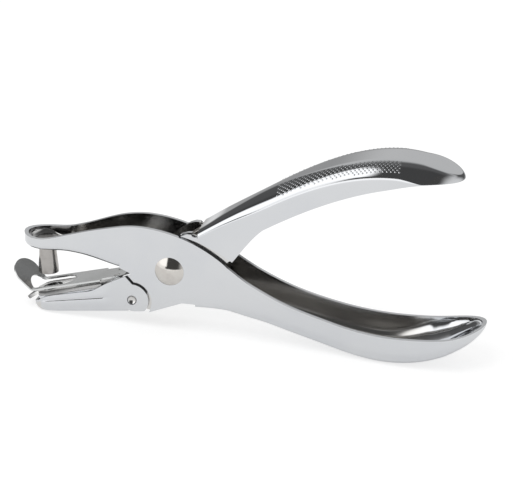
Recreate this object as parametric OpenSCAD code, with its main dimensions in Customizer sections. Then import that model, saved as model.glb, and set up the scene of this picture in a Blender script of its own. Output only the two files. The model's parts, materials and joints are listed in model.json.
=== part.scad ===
// Plier-type single hole punch: two pressed steel levers that cross at a riveted pivot.
// Every module is drawn in the punch's own frame, pivot at the origin, jaws towards -X, handles
// towards +X, and stand() then sets the punch on the floor on its chip tray and lower handle.

/* [Sheet metal] */
// Thickness of the lever sheet
sheet_t = 1.2; // [1:0.1:1.4]
// Play between an outer and an inner cheek
cheek_play = 0.1; // [0.05:0.05:0.3]
// Radius of the bends along the handles
handle_bend_r = 4; // [3:0.5:5]
// Radius of the bends along the jaw and the cheeks
jaw_bend_r = 1.6; // [1.4:0.1:2]

/* [Upper jaw] */
// Distance from the pivot to the punch
punch_reach = 38.2; // [36:0.2:41]
// Radius of the round nose seen from above
nose_r = 6.4; // [5.8:0.1:7]
// Distance from the punch forward to the centre of the nose
nose_lead = 0.2; // [0:0.1:1]
// Width of the neck behind the nose
neck_w = 9.5; // [9:0.1:11]
// Height of the nose's underside over the pivot
nose_floor = 3.4; // [2.8:0.1:4]
// Height of the nose's rim over the pivot
nose_rim = 6.7; // [6.2:0.1:7.5]
// Height of the jaw's underside where its floor ends
root_floor = -0.1; // [-0.4:0.1:0.4]
// Distance from the pivot to the end of the jaw's floor
root_reach = 15; // [14.6:0.2:16]

/* [Cheeks] */
// Width over the outer cheeks
cheek_w = 13; // [12.4:0.1:14]
// Height of the cheek's top edge over the pivot
cheek_top = 12.9; // [12.4:0.1:13.6]
// Distance from the pivot forward to the highest point of the cheek
cheek_top_lead = 11; // [9:0.5:13]
// Radius of the cheek's top edge
cheek_arc_r = 43; // [38:1:50]
// Distance from the pivot forward to the cheek's toe
toe_lead = 6.2; // [5.8:0.1:7]
// Depth of the cheek's toe below the pivot
toe_drop = 13.2; // [12.6:0.1:13.8]
// Distance from the pivot back to the cheek's heel
heel_back = 3.6; // [2:0.2:5]
// Depth of the cheek's heel below the pivot
heel_drop = 9.6; // [9.2:0.1:10]
// Radius of the inner cheeks round the pivot
inner_cheek_r = 7.6; // [7.2:0.1:8.2]

/* [Handles] */
// Width of the handles at their widest
handle_w = 19.6; // [17:0.2:22]
// Distance from the pivot to the tail of the upper handle
upper_len = 84; // [78:1:92]
// Distance from the pivot to the tail of the lower handle
lower_len = 91.3; // [85:0.1:100]
// Height of the upper handle's tail over the pivot
upper_tail = 33.3; // [31:0.1:37]
// Depth of the lower handle's tail below the pivot
lower_tail = 12.2; // [11:0.2:13.4]
// Length of the round end of each handle
tail_round = 12; // [10.5:0.5:15]

/* [Motion] */
// Angle between the two jaws at rest
jaw_open = 13; // [12:0.5:14]
// Angle through which the handles close
close_angle = 8; // [7:0.5:8.5]
// Gap left between the cheek and the upper handle when closed
arc_gap = 0.6; // [0.5:0.1:1.2]
// Running clearance of a turning pin, on the radius
run_fit = 0.05; // [0.02:0.01:0.1]
// Clearance of a riveted shank, on the radius
tight_fit = 0.02; // [0.01:0.01:0.05]

/* [Pivot] */
// Radius of the rivet's shank
rivet_r = 2.5; // [2:0.1:2.8]
// Radius of the rivet's head
rivet_head_r = 4.3; // [3.8:0.1:5]
// Height of the rivet's head
rivet_head_h = 1.6; // [1.2:0.1:2]
// Wall of the sleeve round the rivet
sleeve_wall = 0.7; // [0.5:0.1:0.9]
// End play of the sleeve
sleeve_play = 0.1; // [0.05:0.05:0.2]

/* [Handle spring] */
// Thickness of the wire
wire_d = 1; // [0.8:0.1:1.1]
// Clearance of the coil round the sleeve
coil_play = 0.6; // [0.4:0.1:0.8]
// Whole turns of the coil
coil_turns = 4; // [3:1:4]
// Distance from the pivot to the end of each leg
leg_reach = 18; // [15:0.5:20]
// Gap between a leg and the sheet it bears on
leg_gap = 0.3; // [0.2:0.05:0.4]

/* [Punch and die] */
// Radius of the punch at its cutting edge
punch_r = 3; // [2.5:0.1:3.2]
// Radius of the punch where it leaves the jaw
punch_root_r = 2.5; // [2.2:0.1:2.8]
// Lean of the punch, its tip towards the pivot
punch_lean = 1; // [0:0.5:3]
// Depth that the closed punch enters the die
punch_bite = 0.6; // [0.4:0.1:0.9]
// Shoulder of the punch under the jaw's floor
punch_shoulder = 0.3; // [0.2:0.1:0.5]
// Radius of the punch's staked head
punch_head_r = 3.4; // [3.2:0.1:3.8]
// Height of the punch's staked head
punch_head_h = 0.8; // [0.6:0.1:1]
// Clearance of the die round the punch, on the radius
die_play = 0.15; // [0.1:0.05:0.3]
// Thickness of the die plate
die_t = 1; // [0.8:0.1:1.2]

/* [Stripper] */
// Thickness of the stripper plate
stripper_t = 0.5; // [0.4:0.1:0.6]
// Width of the stripper plate
stripper_w = 10; // [9.6:0.1:10.2]
// Height of the slot that the paper goes into
paper_gap = 0.9; // [0.7:0.1:1.1]
// Width of the slot for the punch
slot_w = 7.4; // [7:0.1:7.8]
// Length of the slot from the tab to its round end
slot_len = 11.8; // [10:0.2:13]
// Distance from the punch forward to the bend of the tab
tab_lead = 4.1; // [3.6:0.1:4.6]
// Length of the tab
tab_len = 9.2; // [8:0.2:10]
// Half the width of the tab where it is widest
tab_half = 5.7; // [5.3:0.1:6]
// Turn of the tab's bend line in plan, in degrees
tab_skew = 9; // [6:1:12]
// Steepness of the tab, in degrees
tab_angle = 58; // [54:1:62]
// Distance from the pivot to the rear end of the plates
plate_end = 14.5; // [14:0.1:15.5]
// Depth of the paper slot behind the punch
paper_depth = 16; // [13:0.5:17]
// Radius of the flush rivets
jaw_rivet_r = 0.9; // [0.7:0.1:1]
// Distance between the flush rivets
jaw_rivet_pitch = 5; // [4:0.5:5.5]
// Length of the pointed lip in front of the die plate
lip_len = 4.5; // [4:0.1:5]
// Angle through which the lip is bent down
lip_angle = 26; // [22:1:30]

/* [Chip tray] */
// Thickness of the tray's sheet
tray_t = 0.75; // [0.6:0.05:0.8]
// Play between the tray and the lower jaw
tray_play = 0.15; // [0.1:0.05:0.25]
// Distance from the pivot forward to the tray's hinge
hinge_lead = 11.4; // [11:0.1:11.8]
// Depth of the tray's hinge below the pivot
hinge_drop = 10; // [9.6:0.1:10.4]
// Radius of the hinge dimples
hinge_r = 1.3; // [1:0.1:1.4]
// Length of a hinge dimple into the jaw's wall
hinge_len = 1; // [0.8:0.1:1.1]
// Radius of the tray's round rear end
tray_end_r = 4.9; // [4.6:0.1:5]
// Height of the tray's shoulders over its hinge
tray_shoulder = 7.3; // [6.9:0.1:7.4]
// Gap between the tray's rear end and the cheek at rest
tray_gap = 1.1; // [0.8:0.1:1.3]
// The same gap with the handles closed
tray_gap_closed = 0.35; // [0.3:0.05:0.6]
// Distance from the punch forward to the front of the tray
tray_lead = 3.8; // [3.5:0.1:5.2]
// Distance from the hinge down to the tray's underside
tray_drop = 3.5; // [3.3:0.1:3.8]
// Height of the tray's front wall
tray_front_h = 2.2; // [1.8:0.1:2.6]
// Height of the tray's sides just behind its front wall
tray_side_h = 4.5; // [4:0.1:5]
// Rise of the tray's floor towards the rear, in degrees
tray_pitch = 4.9; // [4:0.1:6]
// Radius of the tray's front corners seen from above
tray_corner_r = 4.5; // [4:0.1:5]
// Radius of the tray's front edge seen from the side
tray_keel_r = 2; // [1.5:0.1:2.1]

/* [Hidden] */

$fn = 64;
eps = 0.02;
// Steps of a handle, of a jaw and of a round end
handle_steps = 22;
jaw_steps = 12;
end_steps = 7;
// Steps of a bend, and rows of points from a rim to the middle of the floor
bend_steps = 4;
rows = bend_steps + 4;
// Half width of the strip left along the middle of a trough's floor
spine = 0.3;

// Widths, one behind the other from the outside to the middle
cheek_out = cheek_w / 2;
cheek_in = cheek_out - sheet_t;
inner_out = cheek_in - cheek_play;
inner_in = inner_out - sheet_t;
tray_in = inner_out + tray_play;
tray_out = tray_in + tray_t;

// Lines of the levers, each a cubic through its end heights and drawn towards two more
nose_centre = -(punch_reach + nose_lead);
nose_tip = nose_centre - nose_r;
jaw_floor_pulls = [3.6, 2.2];
jaw_rim_pulls = [5.4, 8.5];
// Where the jaw's rim runs into the cheek's top edge, and where the neck begins and ends to widen
rim_end = -18;
neck_from = -28;
neck_to = -14.5;
crown_start = 8;
crown_height = 12.6;
crown_pulls = [29, 46.9];
upper_edge_start = 27.5;
upper_edge_height = 14.8;
upper_edge_pulls = [26, 34.2];
upper_tail_depth = 1.6;
lower_start = 7.5;
lower_depth = 10.6;
lower_pulls = [-9.6, -36.9];
lower_rim_start = 17;
lower_rim_pulls = [-12.8, -18.5];
lower_tail_depth = 2;
// Where the handles begin and end to flare, and where their bends reach full size
flare_start = 20;
flare_end = 68;
bend_full = 32;
// Radius of the handles' bends where they leave the cheeks
root_bend_r = 0.9;
// Front tip of the upper handle's wall, and the heights that draw its rear edge
tip_x = 17.6;
tip_pull = [4.3, -2];
// Where the flat cheeks stop inside the walls of jaw and handle
cheek_front = -16.5;
cheek_back = 12;
// How far the walls of jaw and handle lie inside the cheeks' faces, and their rims under the edges
cheek_lap = 0.02;
rim_lap = 0.06;
throat = [-11.3, -1.7];

// Joint places
hinge = [-hinge_lead, -hinge_drop];
hinge_closed = turn_closed(hinge);
ear_r = 2.4;

// Levels of the lower jaw, measured down from the stripper's top face
die_top = -(stripper_t + paper_gap);
jaw_top = die_top - die_t;
jaw_bottom = jaw_top - sheet_t;
// Tip of the punch, set by how deep it bites when closed, and the die under it
closed_pitch = jaw_open - close_angle;
punch_top = jaw_floor(-punch_reach);
tip_drop = die_top - punch_bite;
punch_tip_x = -punch_reach + (punch_top + punch_reach * tan(closed_pitch) - tip_drop) * tan(punch_lean);
punch_tip = [punch_tip_x, (tip_drop + punch_tip_x * sin(closed_pitch)) / cos(closed_pitch)];
die_x = punch_tip[0] * cos(closed_pitch) + punch_tip[1] * sin(closed_pitch);
die_r = punch_r + die_play;
chip_hole_r = die_r + 0.25;
// Front of the lower jaw and of the die plate inside the tray's nose
jaw_wall_front = punch_reach - 1.7;
jaw_front = die_x - die_r - 0.9;
jaw_corner_r = 3.4;
// How far the lip's bend lies in front of the lower jaw
lip_play = 0.1;
plate_w = stripper_w - 0.4;
// Behind the paper slot the plates are narrow, between the jaw's raised walls
neck_back = -21.8;
tail_w = 2 * (inner_in - 0.15);
// Lower jaw's raised wall, front to rear, and the front of the handle's root
wall_rise = [jaw_point([neck_back + 0.15, jaw_top - 0.1]), [-19.5, -6.1], [-17.5, -4.7], [-12.1, -2.4]];
horn = [[3, 10.9], [5.2, 11.7]];
relief_r = 0.9;
rivet_rear = -(plate_end + 2.6);

// Wire of the spring
sleeve_r = rivet_r + tight_fit + sleeve_wall;
wire_r = wire_d / 2;
coil_r = sleeve_r + coil_play + wire_r;
wire_sides = 6;
coil_rings = 8;
coil_half = inner_in - wire_r - 0.3;
lower_foot = [leg_reach, lower_web(leg_reach) + sheet_t * steep(function(x) lower_web(x), leg_reach)
    + wire_r + leg_gap];
upper_foot = [leg_reach, crown(leg_reach) - sheet_t * steep(function(x) crown(x), leg_reach)
    - wire_r - leg_gap];
lower_touch = atan2(lower_foot[1], lower_foot[0]) - acos(coil_r / norm(lower_foot));
upper_touch = atan2(upper_foot[1], upper_foot[0]) + acos(coil_r / norm(upper_foot));
coil_sweep = 360 * coil_turns + (lower_touch - upper_touch + 720) % 360;
coil_points = [for (i = [0 : ceil(coil_sweep / 360 * coil_rings)])
    let (s = i / ceil(coil_sweep / 360 * coil_rings), a = lower_touch - coil_sweep * s)
    [coil_r * cos(a), coil_half * (2 * s - 1), coil_r * sin(a)]];
wire_path = concat([[lower_foot[0], -coil_half, lower_foot[1]]], coil_points,
    [[upper_foot[0], coil_half, upper_foot[1]]]);

// Reach of the stripper's tab from the pivot, and of the tray from its hinge
tab_reach = punch_reach + tab_lead;
tray_len = punch_reach - hinge_lead + tray_lead;
// Stance: the line from the tray's front edge that touches the lower handle from below
tray_foot = tray_point([-tray_len + tray_keel_r, -tray_drop]);
stance = -min([for (x = [lower_start : 0.5 : lower_len])
    atan2(lower_web(x) - tray_foot[1], x - tray_foot[0])]);
tab_tip = jaw_point([-tab_reach - tab_len * cos(tab_angle), tab_len * sin(tab_angle)]);
front_x = tab_tip[0] * cos(stance) - tab_tip[1] * sin(stance);
rear_x = lower_len * cos(stance) + lower_tail * sin(stance);
floor_z = tray_foot[0] * sin(stance) + tray_foot[1] * cos(stance);

// Height of a cubic line with end heights a and d, drawn towards pulls, at share u of its run
function cubic(a, pulls, d, u) =
    pow(1 - u, 3) * a + 3 * u * pow(1 - u, 2) * pulls[0] + 3 * u * u * (1 - u) * pulls[1] + pow(u, 3) * d;
function smooth(u) = let (v = max(0, min(1, u))) v * v * (3 - 2 * v);
function share(x, from, to) = (x - from) / (to - from);
// How much longer a sheet's thickness is when measured upright, where a line slopes
function steep(line, x) = norm([1, line(x + 0.5) - line(x - 0.5)]);

// Points turned from the lower jaw's frame, from the tray's frame, and through the closing angle
function turned(p, a) = [p[0] * cos(a) - p[1] * sin(a), p[0] * sin(a) + p[1] * cos(a)];
function jaw_point(p) = turned(p, jaw_open);
function tray_point(p) = hinge + turned(p, tray_pitch);
function turn_closed(p) = turned(p, -close_angle);

// Lines of the upper jaw
function jaw_floor(x) = cubic(nose_floor, jaw_floor_pulls, root_floor, share(x, nose_tip, -root_reach));
function jaw_rim(x) = x > rim_end ? cheek_arc(x) - rim_lap
    : cubic(nose_rim, jaw_rim_pulls, cheek_arc(rim_end) - rim_lap, share(x, nose_tip, rim_end));
function jaw_half(x) = neck_w / 2
    + (nose_r - neck_w / 2) * (1 - smooth(share(x, nose_centre, nose_centre + 8)))
    + (cheek_out - cheek_lap - neck_w / 2) * smooth(share(x, neck_from, neck_to));
function cheek_arc(x) = cheek_top - cheek_arc_r + sqrt(pow(cheek_arc_r, 2) - pow(x + cheek_top_lead, 2));

// Lines of the two handles
function handle_half(x, root) =
    root + (handle_w / 2 - root) * smooth(share(x, flare_start, flare_end));
function handle_bend(x) =
    root_bend_r + (handle_bend_r - root_bend_r) * smooth(share(x, crown_start, bend_full));
function lower_web(x) = cubic(-lower_depth, lower_pulls, -lower_tail, share(x, lower_start, lower_len));
function lower_rim(x) = x < lower_rim_start ? cheek_arc(x) - rim_lap
    : cubic(cheek_arc(lower_rim_start) - rim_lap, lower_rim_pulls, lower_tail_depth - lower_tail,
        share(x, lower_rim_start, lower_len));
function crown(x) = cubic(crown_height, crown_pulls, upper_tail, share(x, crown_start, upper_len));
// The closed cheek's top edge, turned back with the upper handle, and the gap beyond it
arc_centre = turned([-cheek_top_lead, cheek_top - cheek_arc_r], close_angle);
function handle_arc(x) = arc_centre[1] + sqrt(pow(cheek_arc_r + arc_gap, 2) - pow(x - arc_centre[0], 2));
function upper_edge(x) = x < tip_x ? handle_arc(x)
    : x < upper_edge_start ? cubic(handle_arc(tip_x), [handle_arc(tip_x) + tip_pull[0],
        upper_edge_height + tip_pull[1]], upper_edge_height, share(x, tip_x, upper_edge_start))
    : cubic(upper_edge_height, upper_edge_pulls, upper_tail - upper_tail_depth,
        share(x, upper_edge_start, upper_len));

// Row k of a trough's section: how far in from the wall, and how far from the floor
function row(k, depth, r, w) =
    k == 0 ? [0, depth]
    : k == 1 ? [0, (depth + r) / 2]
    : k <= bend_steps + 2 ? let (a = 90 * (k - 2) / bend_steps) [r * (1 - cos(a)), r * (1 - sin(a))]
    : k == rows - 1 ? [(r + w) / 2, 0]
    : [w - spine, 0];

// One skin of a pressed trough: its stations run to xs's last value and then round the end.
// half, web, rim and bend are lines along x, and t is how far the skin lies inside the outer one.
function skin(half, web, rim, bend, xs, reach, t) =
    let (n = len(xs) - 1, dir = sign(xs[n] - xs[0]))
    [for (i = [0 : n + end_steps])
        let (a = 90 * max(0, i - n) / end_steps, x0 = xs[min(i, n)], w = half(x0) - t,
            xr = x0 + dir * (reach - t) * sin(a), up = sign(rim(xr) - web(xr)),
            lift = t * steep(web, xr), depth0 = abs(rim(xr) - web(xr)),
            depth = max(depth0 - lift, 0.3), r0 = min(bend(xr), 0.85 * depth0),
            r = t == 0 ? r0 : min(max(r0 - t, 0.25), 0.85 * depth))
        for (side = [-1, 1])
            for (k = side < 0 ? [0 : rows] : [rows : -1 : 0])
                let (p = row(k, depth, r, w), x = x0 + dir * (reach - t - p[0]) * sin(a))
                [x, side * (w - p[0]) * cos(a), web(x) + up * (t * steep(web, x) + p[1])]];

// A pressed trough: outer and inner skin, joined along the rims and at the open end
module trough(half, web, rim, bend, xs, reach) {
    ring = 2 * (rows + 1);
    last = len(xs) - 1 + end_steps;
    count = (last + 1) * ring;
    flip = (xs[len(xs) - 1] > xs[0]) == (rim(xs[0]) > web(xs[0]));
    points = concat(skin(half, web, rim, bend, xs, reach, 0), skin(half, web, rim, bend, xs, reach, sheet_t));
    function id(i, j, s) = s * count + i * ring + (i == last && j > rows ? ring - 1 - j : j);
    function quad(a, b, c, d) = [[a, b, c], [a, c, d]];
    faces = concat(
        [for (i = [0 : last - 1], j = [0 : ring - 2])
            each quad(id(i, j, 0), id(i, j + 1, 0), id(i + 1, j + 1, 0), id(i + 1, j, 0))],
        [for (i = [0 : last - 1], j = [0 : ring - 2])
            each quad(id(i, j, 1), id(i + 1, j, 1), id(i + 1, j + 1, 1), id(i, j + 1, 1))],
        [for (i = [0 : last - 1])
            each quad(id(i, 0, 0), id(i + 1, 0, 0), id(i + 1, 0, 1), id(i, 0, 1))],
        [for (i = [0 : last - 1])
            each quad(id(i, ring - 1, 0), id(i, ring - 1, 1), id(i + 1, ring - 1, 1), id(i + 1, ring - 1, 0))],
        [for (j = [0 : ring - 2])
            each quad(id(0, j, 0), id(0, j, 1), id(0, j + 1, 1), id(0, j + 1, 0))]);
    whole = [for (f = faces) if (f[0] != f[1] && f[1] != f[2] && f[0] != f[2]) f];
    polyhedron(points, [for (f = whole) flip ? [f[0], f[2], f[1]] : f]);
}

function stations(from, to, steps) = [for (i = [0 : steps]) from + (to - from) * i / steps];

// Sets the punch on the floor, centred over it
module stand() {
    translate([-(front_x + rear_x) / 2, 0, -floor_z])
        rotate([0, -stance, 0])
            children();
}

// A flat outline in the XZ plane, given thickness from y0 to y1
module plate(y0, y1) {
    translate([0, y1, 0])
        rotate([90, 0, 0])
            linear_extrude(y1 - y0)
                children();
}

// The same outline on the near and on the far side
module both_sides(y0, y1) {
    plate(y0, y1)
        children();
    plate(-y1, -y0)
        children();
}

// Frames of the lower jaw and of the tray, as outlines and as solids
module in_jaw() {
    rotate([0, -jaw_open, 0])
        children();
}

module in_tray() {
    translate([hinge[0], 0, hinge[1]])
        rotate([0, -tray_pitch, 0])
            children();
}

// A round bar along Y, centred on the middle plane
module bar(p, r, len) {
    translate([p[0], 0, p[1]])
        rotate([90, 0, 0])
            cylinder(r = r, h = len, center = true);
}

// The path that the tray's rear end needs while the handles close
module tray_path() {
    span = hinge_closed - hinge;
    closed_r = tray_end_r + tray_gap_closed;
    translate(hinge)
        circle(tray_end_r + tray_gap);
    translate(hinge_closed)
        circle(closed_r);
    translate(hinge)
        rotate(atan2(span[1], span[0]))
            translate([0, -closed_r])
                square([norm(span), 2 * closed_r]);
}

// Outer cheek: an arc on top, the throat and the tray's cut-out in front, toe and heel below
module outer_cheek_outline() {
    difference() {
        intersection() {
            translate([-cheek_top_lead, cheek_top - cheek_arc_r])
                circle(cheek_arc_r, $fn = 180);
            polygon([
                [cheek_front, cheek_top + 1], [cheek_back, cheek_top + 1],
                [cheek_back, -lower_depth + root_bend_r + 0.1], [lower_start, -lower_depth + root_bend_r + 0.1],
                [heel_back, -heel_drop], [-toe_lead, -toe_drop], [throat[0], -toe_drop],
                throat, [-root_reach + 0.2, root_floor],
                [-root_reach - 0.4, root_floor + jaw_bend_r + 0.1],
                [cheek_front, jaw_floor(cheek_front) + jaw_bend_r + 0.1],
            ]);
        }
        tray_path();
    }
}

module outer_lever() {
    color("gainsboro")
        stand()
            difference() {
                union() {
                    trough(function(x) jaw_half(x), function(x) jaw_floor(x), function(x) jaw_rim(x),
                        function(x) jaw_bend_r, stations(-root_reach, nose_centre, jaw_steps), nose_r);
                    trough(function(x) handle_half(x, cheek_out - cheek_lap), function(x) lower_web(x),
                        function(x) lower_rim(x), function(x) handle_bend(x),
                        stations(lower_start, lower_len - tail_round, handle_steps), tail_round);
                    both_sides(cheek_in, cheek_out)
                        outer_cheek_outline();
                }
                bar([0, 0], rivet_r + tight_fit, cheek_w + 2);
                punch_axis()
                    cylinder(r = punch_root_r - punch_shoulder + tight_fit, h = 8, center = true);
            }
}

// Inner cheek: a disc round the pivot, the root of the handle, the lower jaw's wall and the hinge ear
module inner_cheek_outline() {
    wall_front = -jaw_wall_front;
    circle(inner_cheek_r);
    polygon([
        inner_cheek_r * [-0.3, 0.95], [1.4, 10], horn[1], [crown_start, crown_height - 0.5],
        [crown_start + 2, crown(crown_start + 2) - sheet_t],
        [22, crown(22) - 1.5 * sheet_t], [21, upper_edge(21) + 0.5], [tip_x, handle_arc(tip_x) + 0.6],
        inner_cheek_r * [0.83, -0.55],
    ]);
    polygon(concat([jaw_point([wall_front, jaw_top - sheet_t / 2])], wall_rise, [
        inner_cheek_r * [-0.8, 0.5], inner_cheek_r * [-0.3, -0.9],
        hinge + [7, -1.2], hinge + [3.4, -0.9], hinge + [2.3, -0.75],
        tray_point([1, -1.9]), tray_point([-25, -1.9]), jaw_point([wall_front, jaw_bottom - 1]),
    ]));
    translate(hinge)
        circle(ear_r);
}

// Where the inner cheek is doubled to the handle's wall, above the arc that clears the outer cheek
module handle_root_outline() {
    difference() {
        polygon([
            [horn[0][0], 0], horn[0], horn[1],
            for (x = [crown_start + 0.5, 12, 16, 20]) [x, crown(x) - handle_bend(x) - 0.2],
            [20, upper_edge(20) + 0.6], [tip_x, handle_arc(tip_x) + 0.3],
            [tip_x, 0],
        ]);
        translate(arc_centre)
            circle(cheek_arc_r + arc_gap, $fn = 180);
    }
}

// Plan of a plate in the lower jaw, w wide, with a front of corner radius r
module jaw_plan(front, back, w, r) {
    translate([front + r, -w / 2])
        square([back - front - r, w]);
    translate([front, -w / 2 + r])
        square([r + eps, w - 2 * r]);
    for (side = [-1, 1])
        translate([front + r, side * (w / 2 - r)])
            circle(r);
}

module inner_lever() {
    color("gainsboro")
        stand()
            difference() {
                union() {
                    trough(function(x) handle_half(x, cheek_out), function(x) crown(x),
                        function(x) upper_edge(x), function(x) handle_bend(x),
                        concat(stations(crown_start, tip_x, 6),
                            stations(tip_x + 1.6, upper_len - tail_round, handle_steps - 4)), tail_round);
                    both_sides(inner_in, inner_out)
                        inner_cheek_outline();
                    both_sides(inner_in + eps, cheek_out - eps)
                        handle_root_outline();
                    in_jaw()
                        translate([0, 0, jaw_bottom])
                            linear_extrude(sheet_t)
                                jaw_plan(jaw_front, -plate_end + 1, 2 * (inner_out - eps), jaw_corner_r);
                }
                bar([0, 0], rivet_r + run_fit, cheek_w + 2);
                bar(hinge, hinge_r + run_fit, cheek_w + 2);
                bar([crown_start - 0.5, crown_height - 0.7], relief_r, cheek_w + 2);
                in_jaw()
                    translate([die_x, 0, jaw_bottom - 1])
                        cylinder(r = chip_hole_r, h = sheet_t + 2);
                jaw_rivet_places()
                    translate([0, 0, jaw_bottom - 1])
                        cylinder(r = jaw_rivet_r + tight_fit, h = sheet_t + 2);
            }
}

// Rivet with a domed head on each side
module pivot_rivet() {
    dome_r = (pow(rivet_head_r, 2) + pow(rivet_head_h, 2)) / (2 * rivet_head_h);
    color("linen")
        stand()
            rotate([90, 0, 0])
                union() {
                    cylinder(r = rivet_r, h = cheek_w, center = true);
                    for (side = [0, 1])
                        mirror([0, 0, side])
                            translate([0, 0, cheek_out])
                                intersection() {
                                    translate([0, 0, rivet_head_h - dome_r])
                                        sphere(dome_r);
                                    cylinder(r = rivet_head_r, h = rivet_head_h);
                                }
                }
}

module pivot_sleeve() {
    length = 2 * (inner_in - sleeve_play);
    color("silver")
        stand()
            difference() {
                bar([0, 0], sleeve_r, length);
                bar([0, 0], rivet_r + tight_fit, length + 1);
            }
}

// Least gap between stretches of the wire that are at least a third of a turn apart
wire_gap = min([for (i = [0 : len(coil_points) - 1], j = [i + 3 : len(coil_points) - 1])
    if (j < len(coil_points)) norm(coil_points[j] - coil_points[i])]) - wire_d;

// Torsion spring: a leg under the coil, the turns, and a leg over it, as one tube
module handle_spring() {
    n = len(wire_path);
    ways = [for (i = [0 : n - 1])
        let (d = wire_path[min(i + 1, n - 1)] - wire_path[max(i - 1, 0)]) d / norm(d)];
    rings = [for (i = [0 : n - 1])
        let (side = cross(ways[i], [0, 1, 0]), u = side / norm(side), v = cross(u, ways[i]))
        for (k = [0 : wire_sides - 1])
            wire_path[i] + wire_r * (cos(360 * k / wire_sides) * u + sin(360 * k / wire_sides) * v)];
    function id(i, k) = i * wire_sides + k % wire_sides;
    sides = [for (i = [0 : n - 2], k = [0 : wire_sides - 1])
        each [[id(i, k), id(i + 1, k), id(i + 1, k + 1)], [id(i, k), id(i + 1, k + 1), id(i, k + 1)]]];
    caps = [for (k = [1 : wire_sides - 2])
        each [[id(0, 0), id(0, k), id(0, k + 1)], [id(n - 1, 0), id(n - 1, k + 1), id(n - 1, k)]]];
    echo(least_wire_gap = wire_gap);
    color("dimgray")
        stand()
            polyhedron(rings, concat(sides, caps));
}

// The punch's own axis: at the jaw's underside, leaning
module punch_axis() {
    translate([-punch_reach, 0, punch_top])
        rotate([0, -punch_lean, 0])
            children();
}

// Punch: staked head over the floor, shank through it, and a body that widens to the cutting edge
module punch_pin() {
    length = norm(punch_tip - [-punch_reach, punch_top]);
    seat = sheet_t + 0.25;
    shank_r = punch_root_r - punch_shoulder;
    color("rosybrown")
        stand()
            punch_axis()
                rotate_extrude()
                    polygon([
                        [0, -length], [punch_r, -length], [punch_r, 0.8 - length], [punch_root_r, -0.35],
                        [shank_r, -0.35], [shank_r, seat], [punch_head_r, seat],
                        [punch_head_r - 0.4, seat + punch_head_h], [0, seat + punch_head_h],
                    ]);
}

// Places of the two flush rivets behind the paper slot
module jaw_rivet_places() {
    in_jaw()
        for (side = [-1, 1])
            translate([rivet_rear, side * jaw_rivet_pitch / 2, 0])
                children();
}

module die_plate() {
    front = jaw_front - lip_play;
    lip_root = die_t * sin(lip_angle) - eps;
    color("gray")
        stand()
            difference() {
                union() {
                    in_jaw()
                        translate([0, 0, jaw_top])
                            linear_extrude(die_t) {
                                jaw_plan(front, neck_back, plate_w, jaw_corner_r);
                                translate([neck_back - eps, -tail_w / 2])
                                    square([-plate_end - neck_back + eps, tail_w]);
                            }
                    in_jaw()
                        translate([front, 0, jaw_top])
                            rotate([0, -lip_angle, 0])
                                linear_extrude(die_t * cos(lip_angle))
                                    polygon([[lip_root, -2.6], [lip_root, 2.6], [-lip_len, 0.5], [-lip_len, -0.5]]);
                }
                in_jaw()
                    translate([die_x, 0, jaw_top - 1])
                        cylinder(r = die_r, h = die_t + 2);
                jaw_rivet_places()
                    translate([0, 0, jaw_top - 1])
                        cylinder(r = jaw_rivet_r + tight_fit, h = die_t + 2);
            }
}

// Spacer that the paper's edge stops against
module paper_stop() {
    front = die_x + paper_depth;
    color("gray")
        stand()
            difference() {
                in_jaw()
                    translate([front, -tail_w / 2, die_top])
                        cube([-plate_end - front, tail_w, paper_gap]);
                jaw_rivet_places()
                    translate([0, 0, die_top - 1])
                        cylinder(r = jaw_rivet_r + tight_fit, h = paper_gap + 2);
            }
}

// Stripper: slotted strip with a tab turned up in front
module stripper_plate() {
    round_end = -tab_reach + slot_len - slot_w / 2;
    corner_r = 2;
    slot_rise = 1.5;
    slot_run = slot_len + slot_rise - slot_w;
    slot_h = stripper_t + 5;
    lag = stripper_w / 2 * tan(tab_skew);
    tab_root = (stripper_w / 2 - 0.05) / cos(tab_skew);
    tab_round = tab_len / 2;
    tab_arc = [for (a = [0 : 7.5 : 90]) [tab_round - tab_len - tab_round * sin(a), tab_half * cos(a)]];
    tab_plan = concat([[0.3, -tab_root]], [for (p = tab_arc) [p[0], -p[1]]],
        [for (i = [len(tab_arc) - 2 : -1 : 0]) tab_arc[i]], [[0.3, tab_root]]);
    color("darkgray")
        stand()
            difference() {
                union() {
                    in_jaw()
                        translate([0, 0, -stripper_t])
                            linear_extrude(stripper_t) {
                                polygon([[-tab_reach - lag, -stripper_w / 2], [neck_back, -stripper_w / 2],
                                    [neck_back, stripper_w / 2], [-tab_reach + lag, stripper_w / 2]]);
                                mirror([1, 0])
                                    jaw_plan(plate_end, -neck_back + eps, tail_w, corner_r);
                            }
                    in_jaw()
                        translate([-tab_reach, 0, 0])
                            rotate([0, 0, -tab_skew])
                                rotate([0, tab_angle, 0])
                                    translate([0, 0, -stripper_t])
                                        linear_extrude(stripper_t)
                                            polygon(tab_plan);
                }
                in_jaw()
                    translate([round_end, 0, -stripper_t - 1]) {
                        cylinder(r = slot_w / 2, h = slot_h);
                        translate([-slot_run, -slot_w / 2, 0])
                            cube([slot_run, slot_w, slot_h]);
                        translate([-slot_run, 0, 0])
                            cylinder(r = slot_w / 2, h = slot_h);
                    }
                jaw_rivet_places()
                    translate([0, 0, -stripper_t - 1])
                        cylinder(r = jaw_rivet_r + tight_fit, h = stripper_t + 2);
            }
}

module jaw_rivets() {
    color("silver")
        stand()
            jaw_rivet_places()
                translate([0, 0, jaw_bottom])
                    cylinder(r = jaw_rivet_r, h = -jaw_bottom);
}

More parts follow.
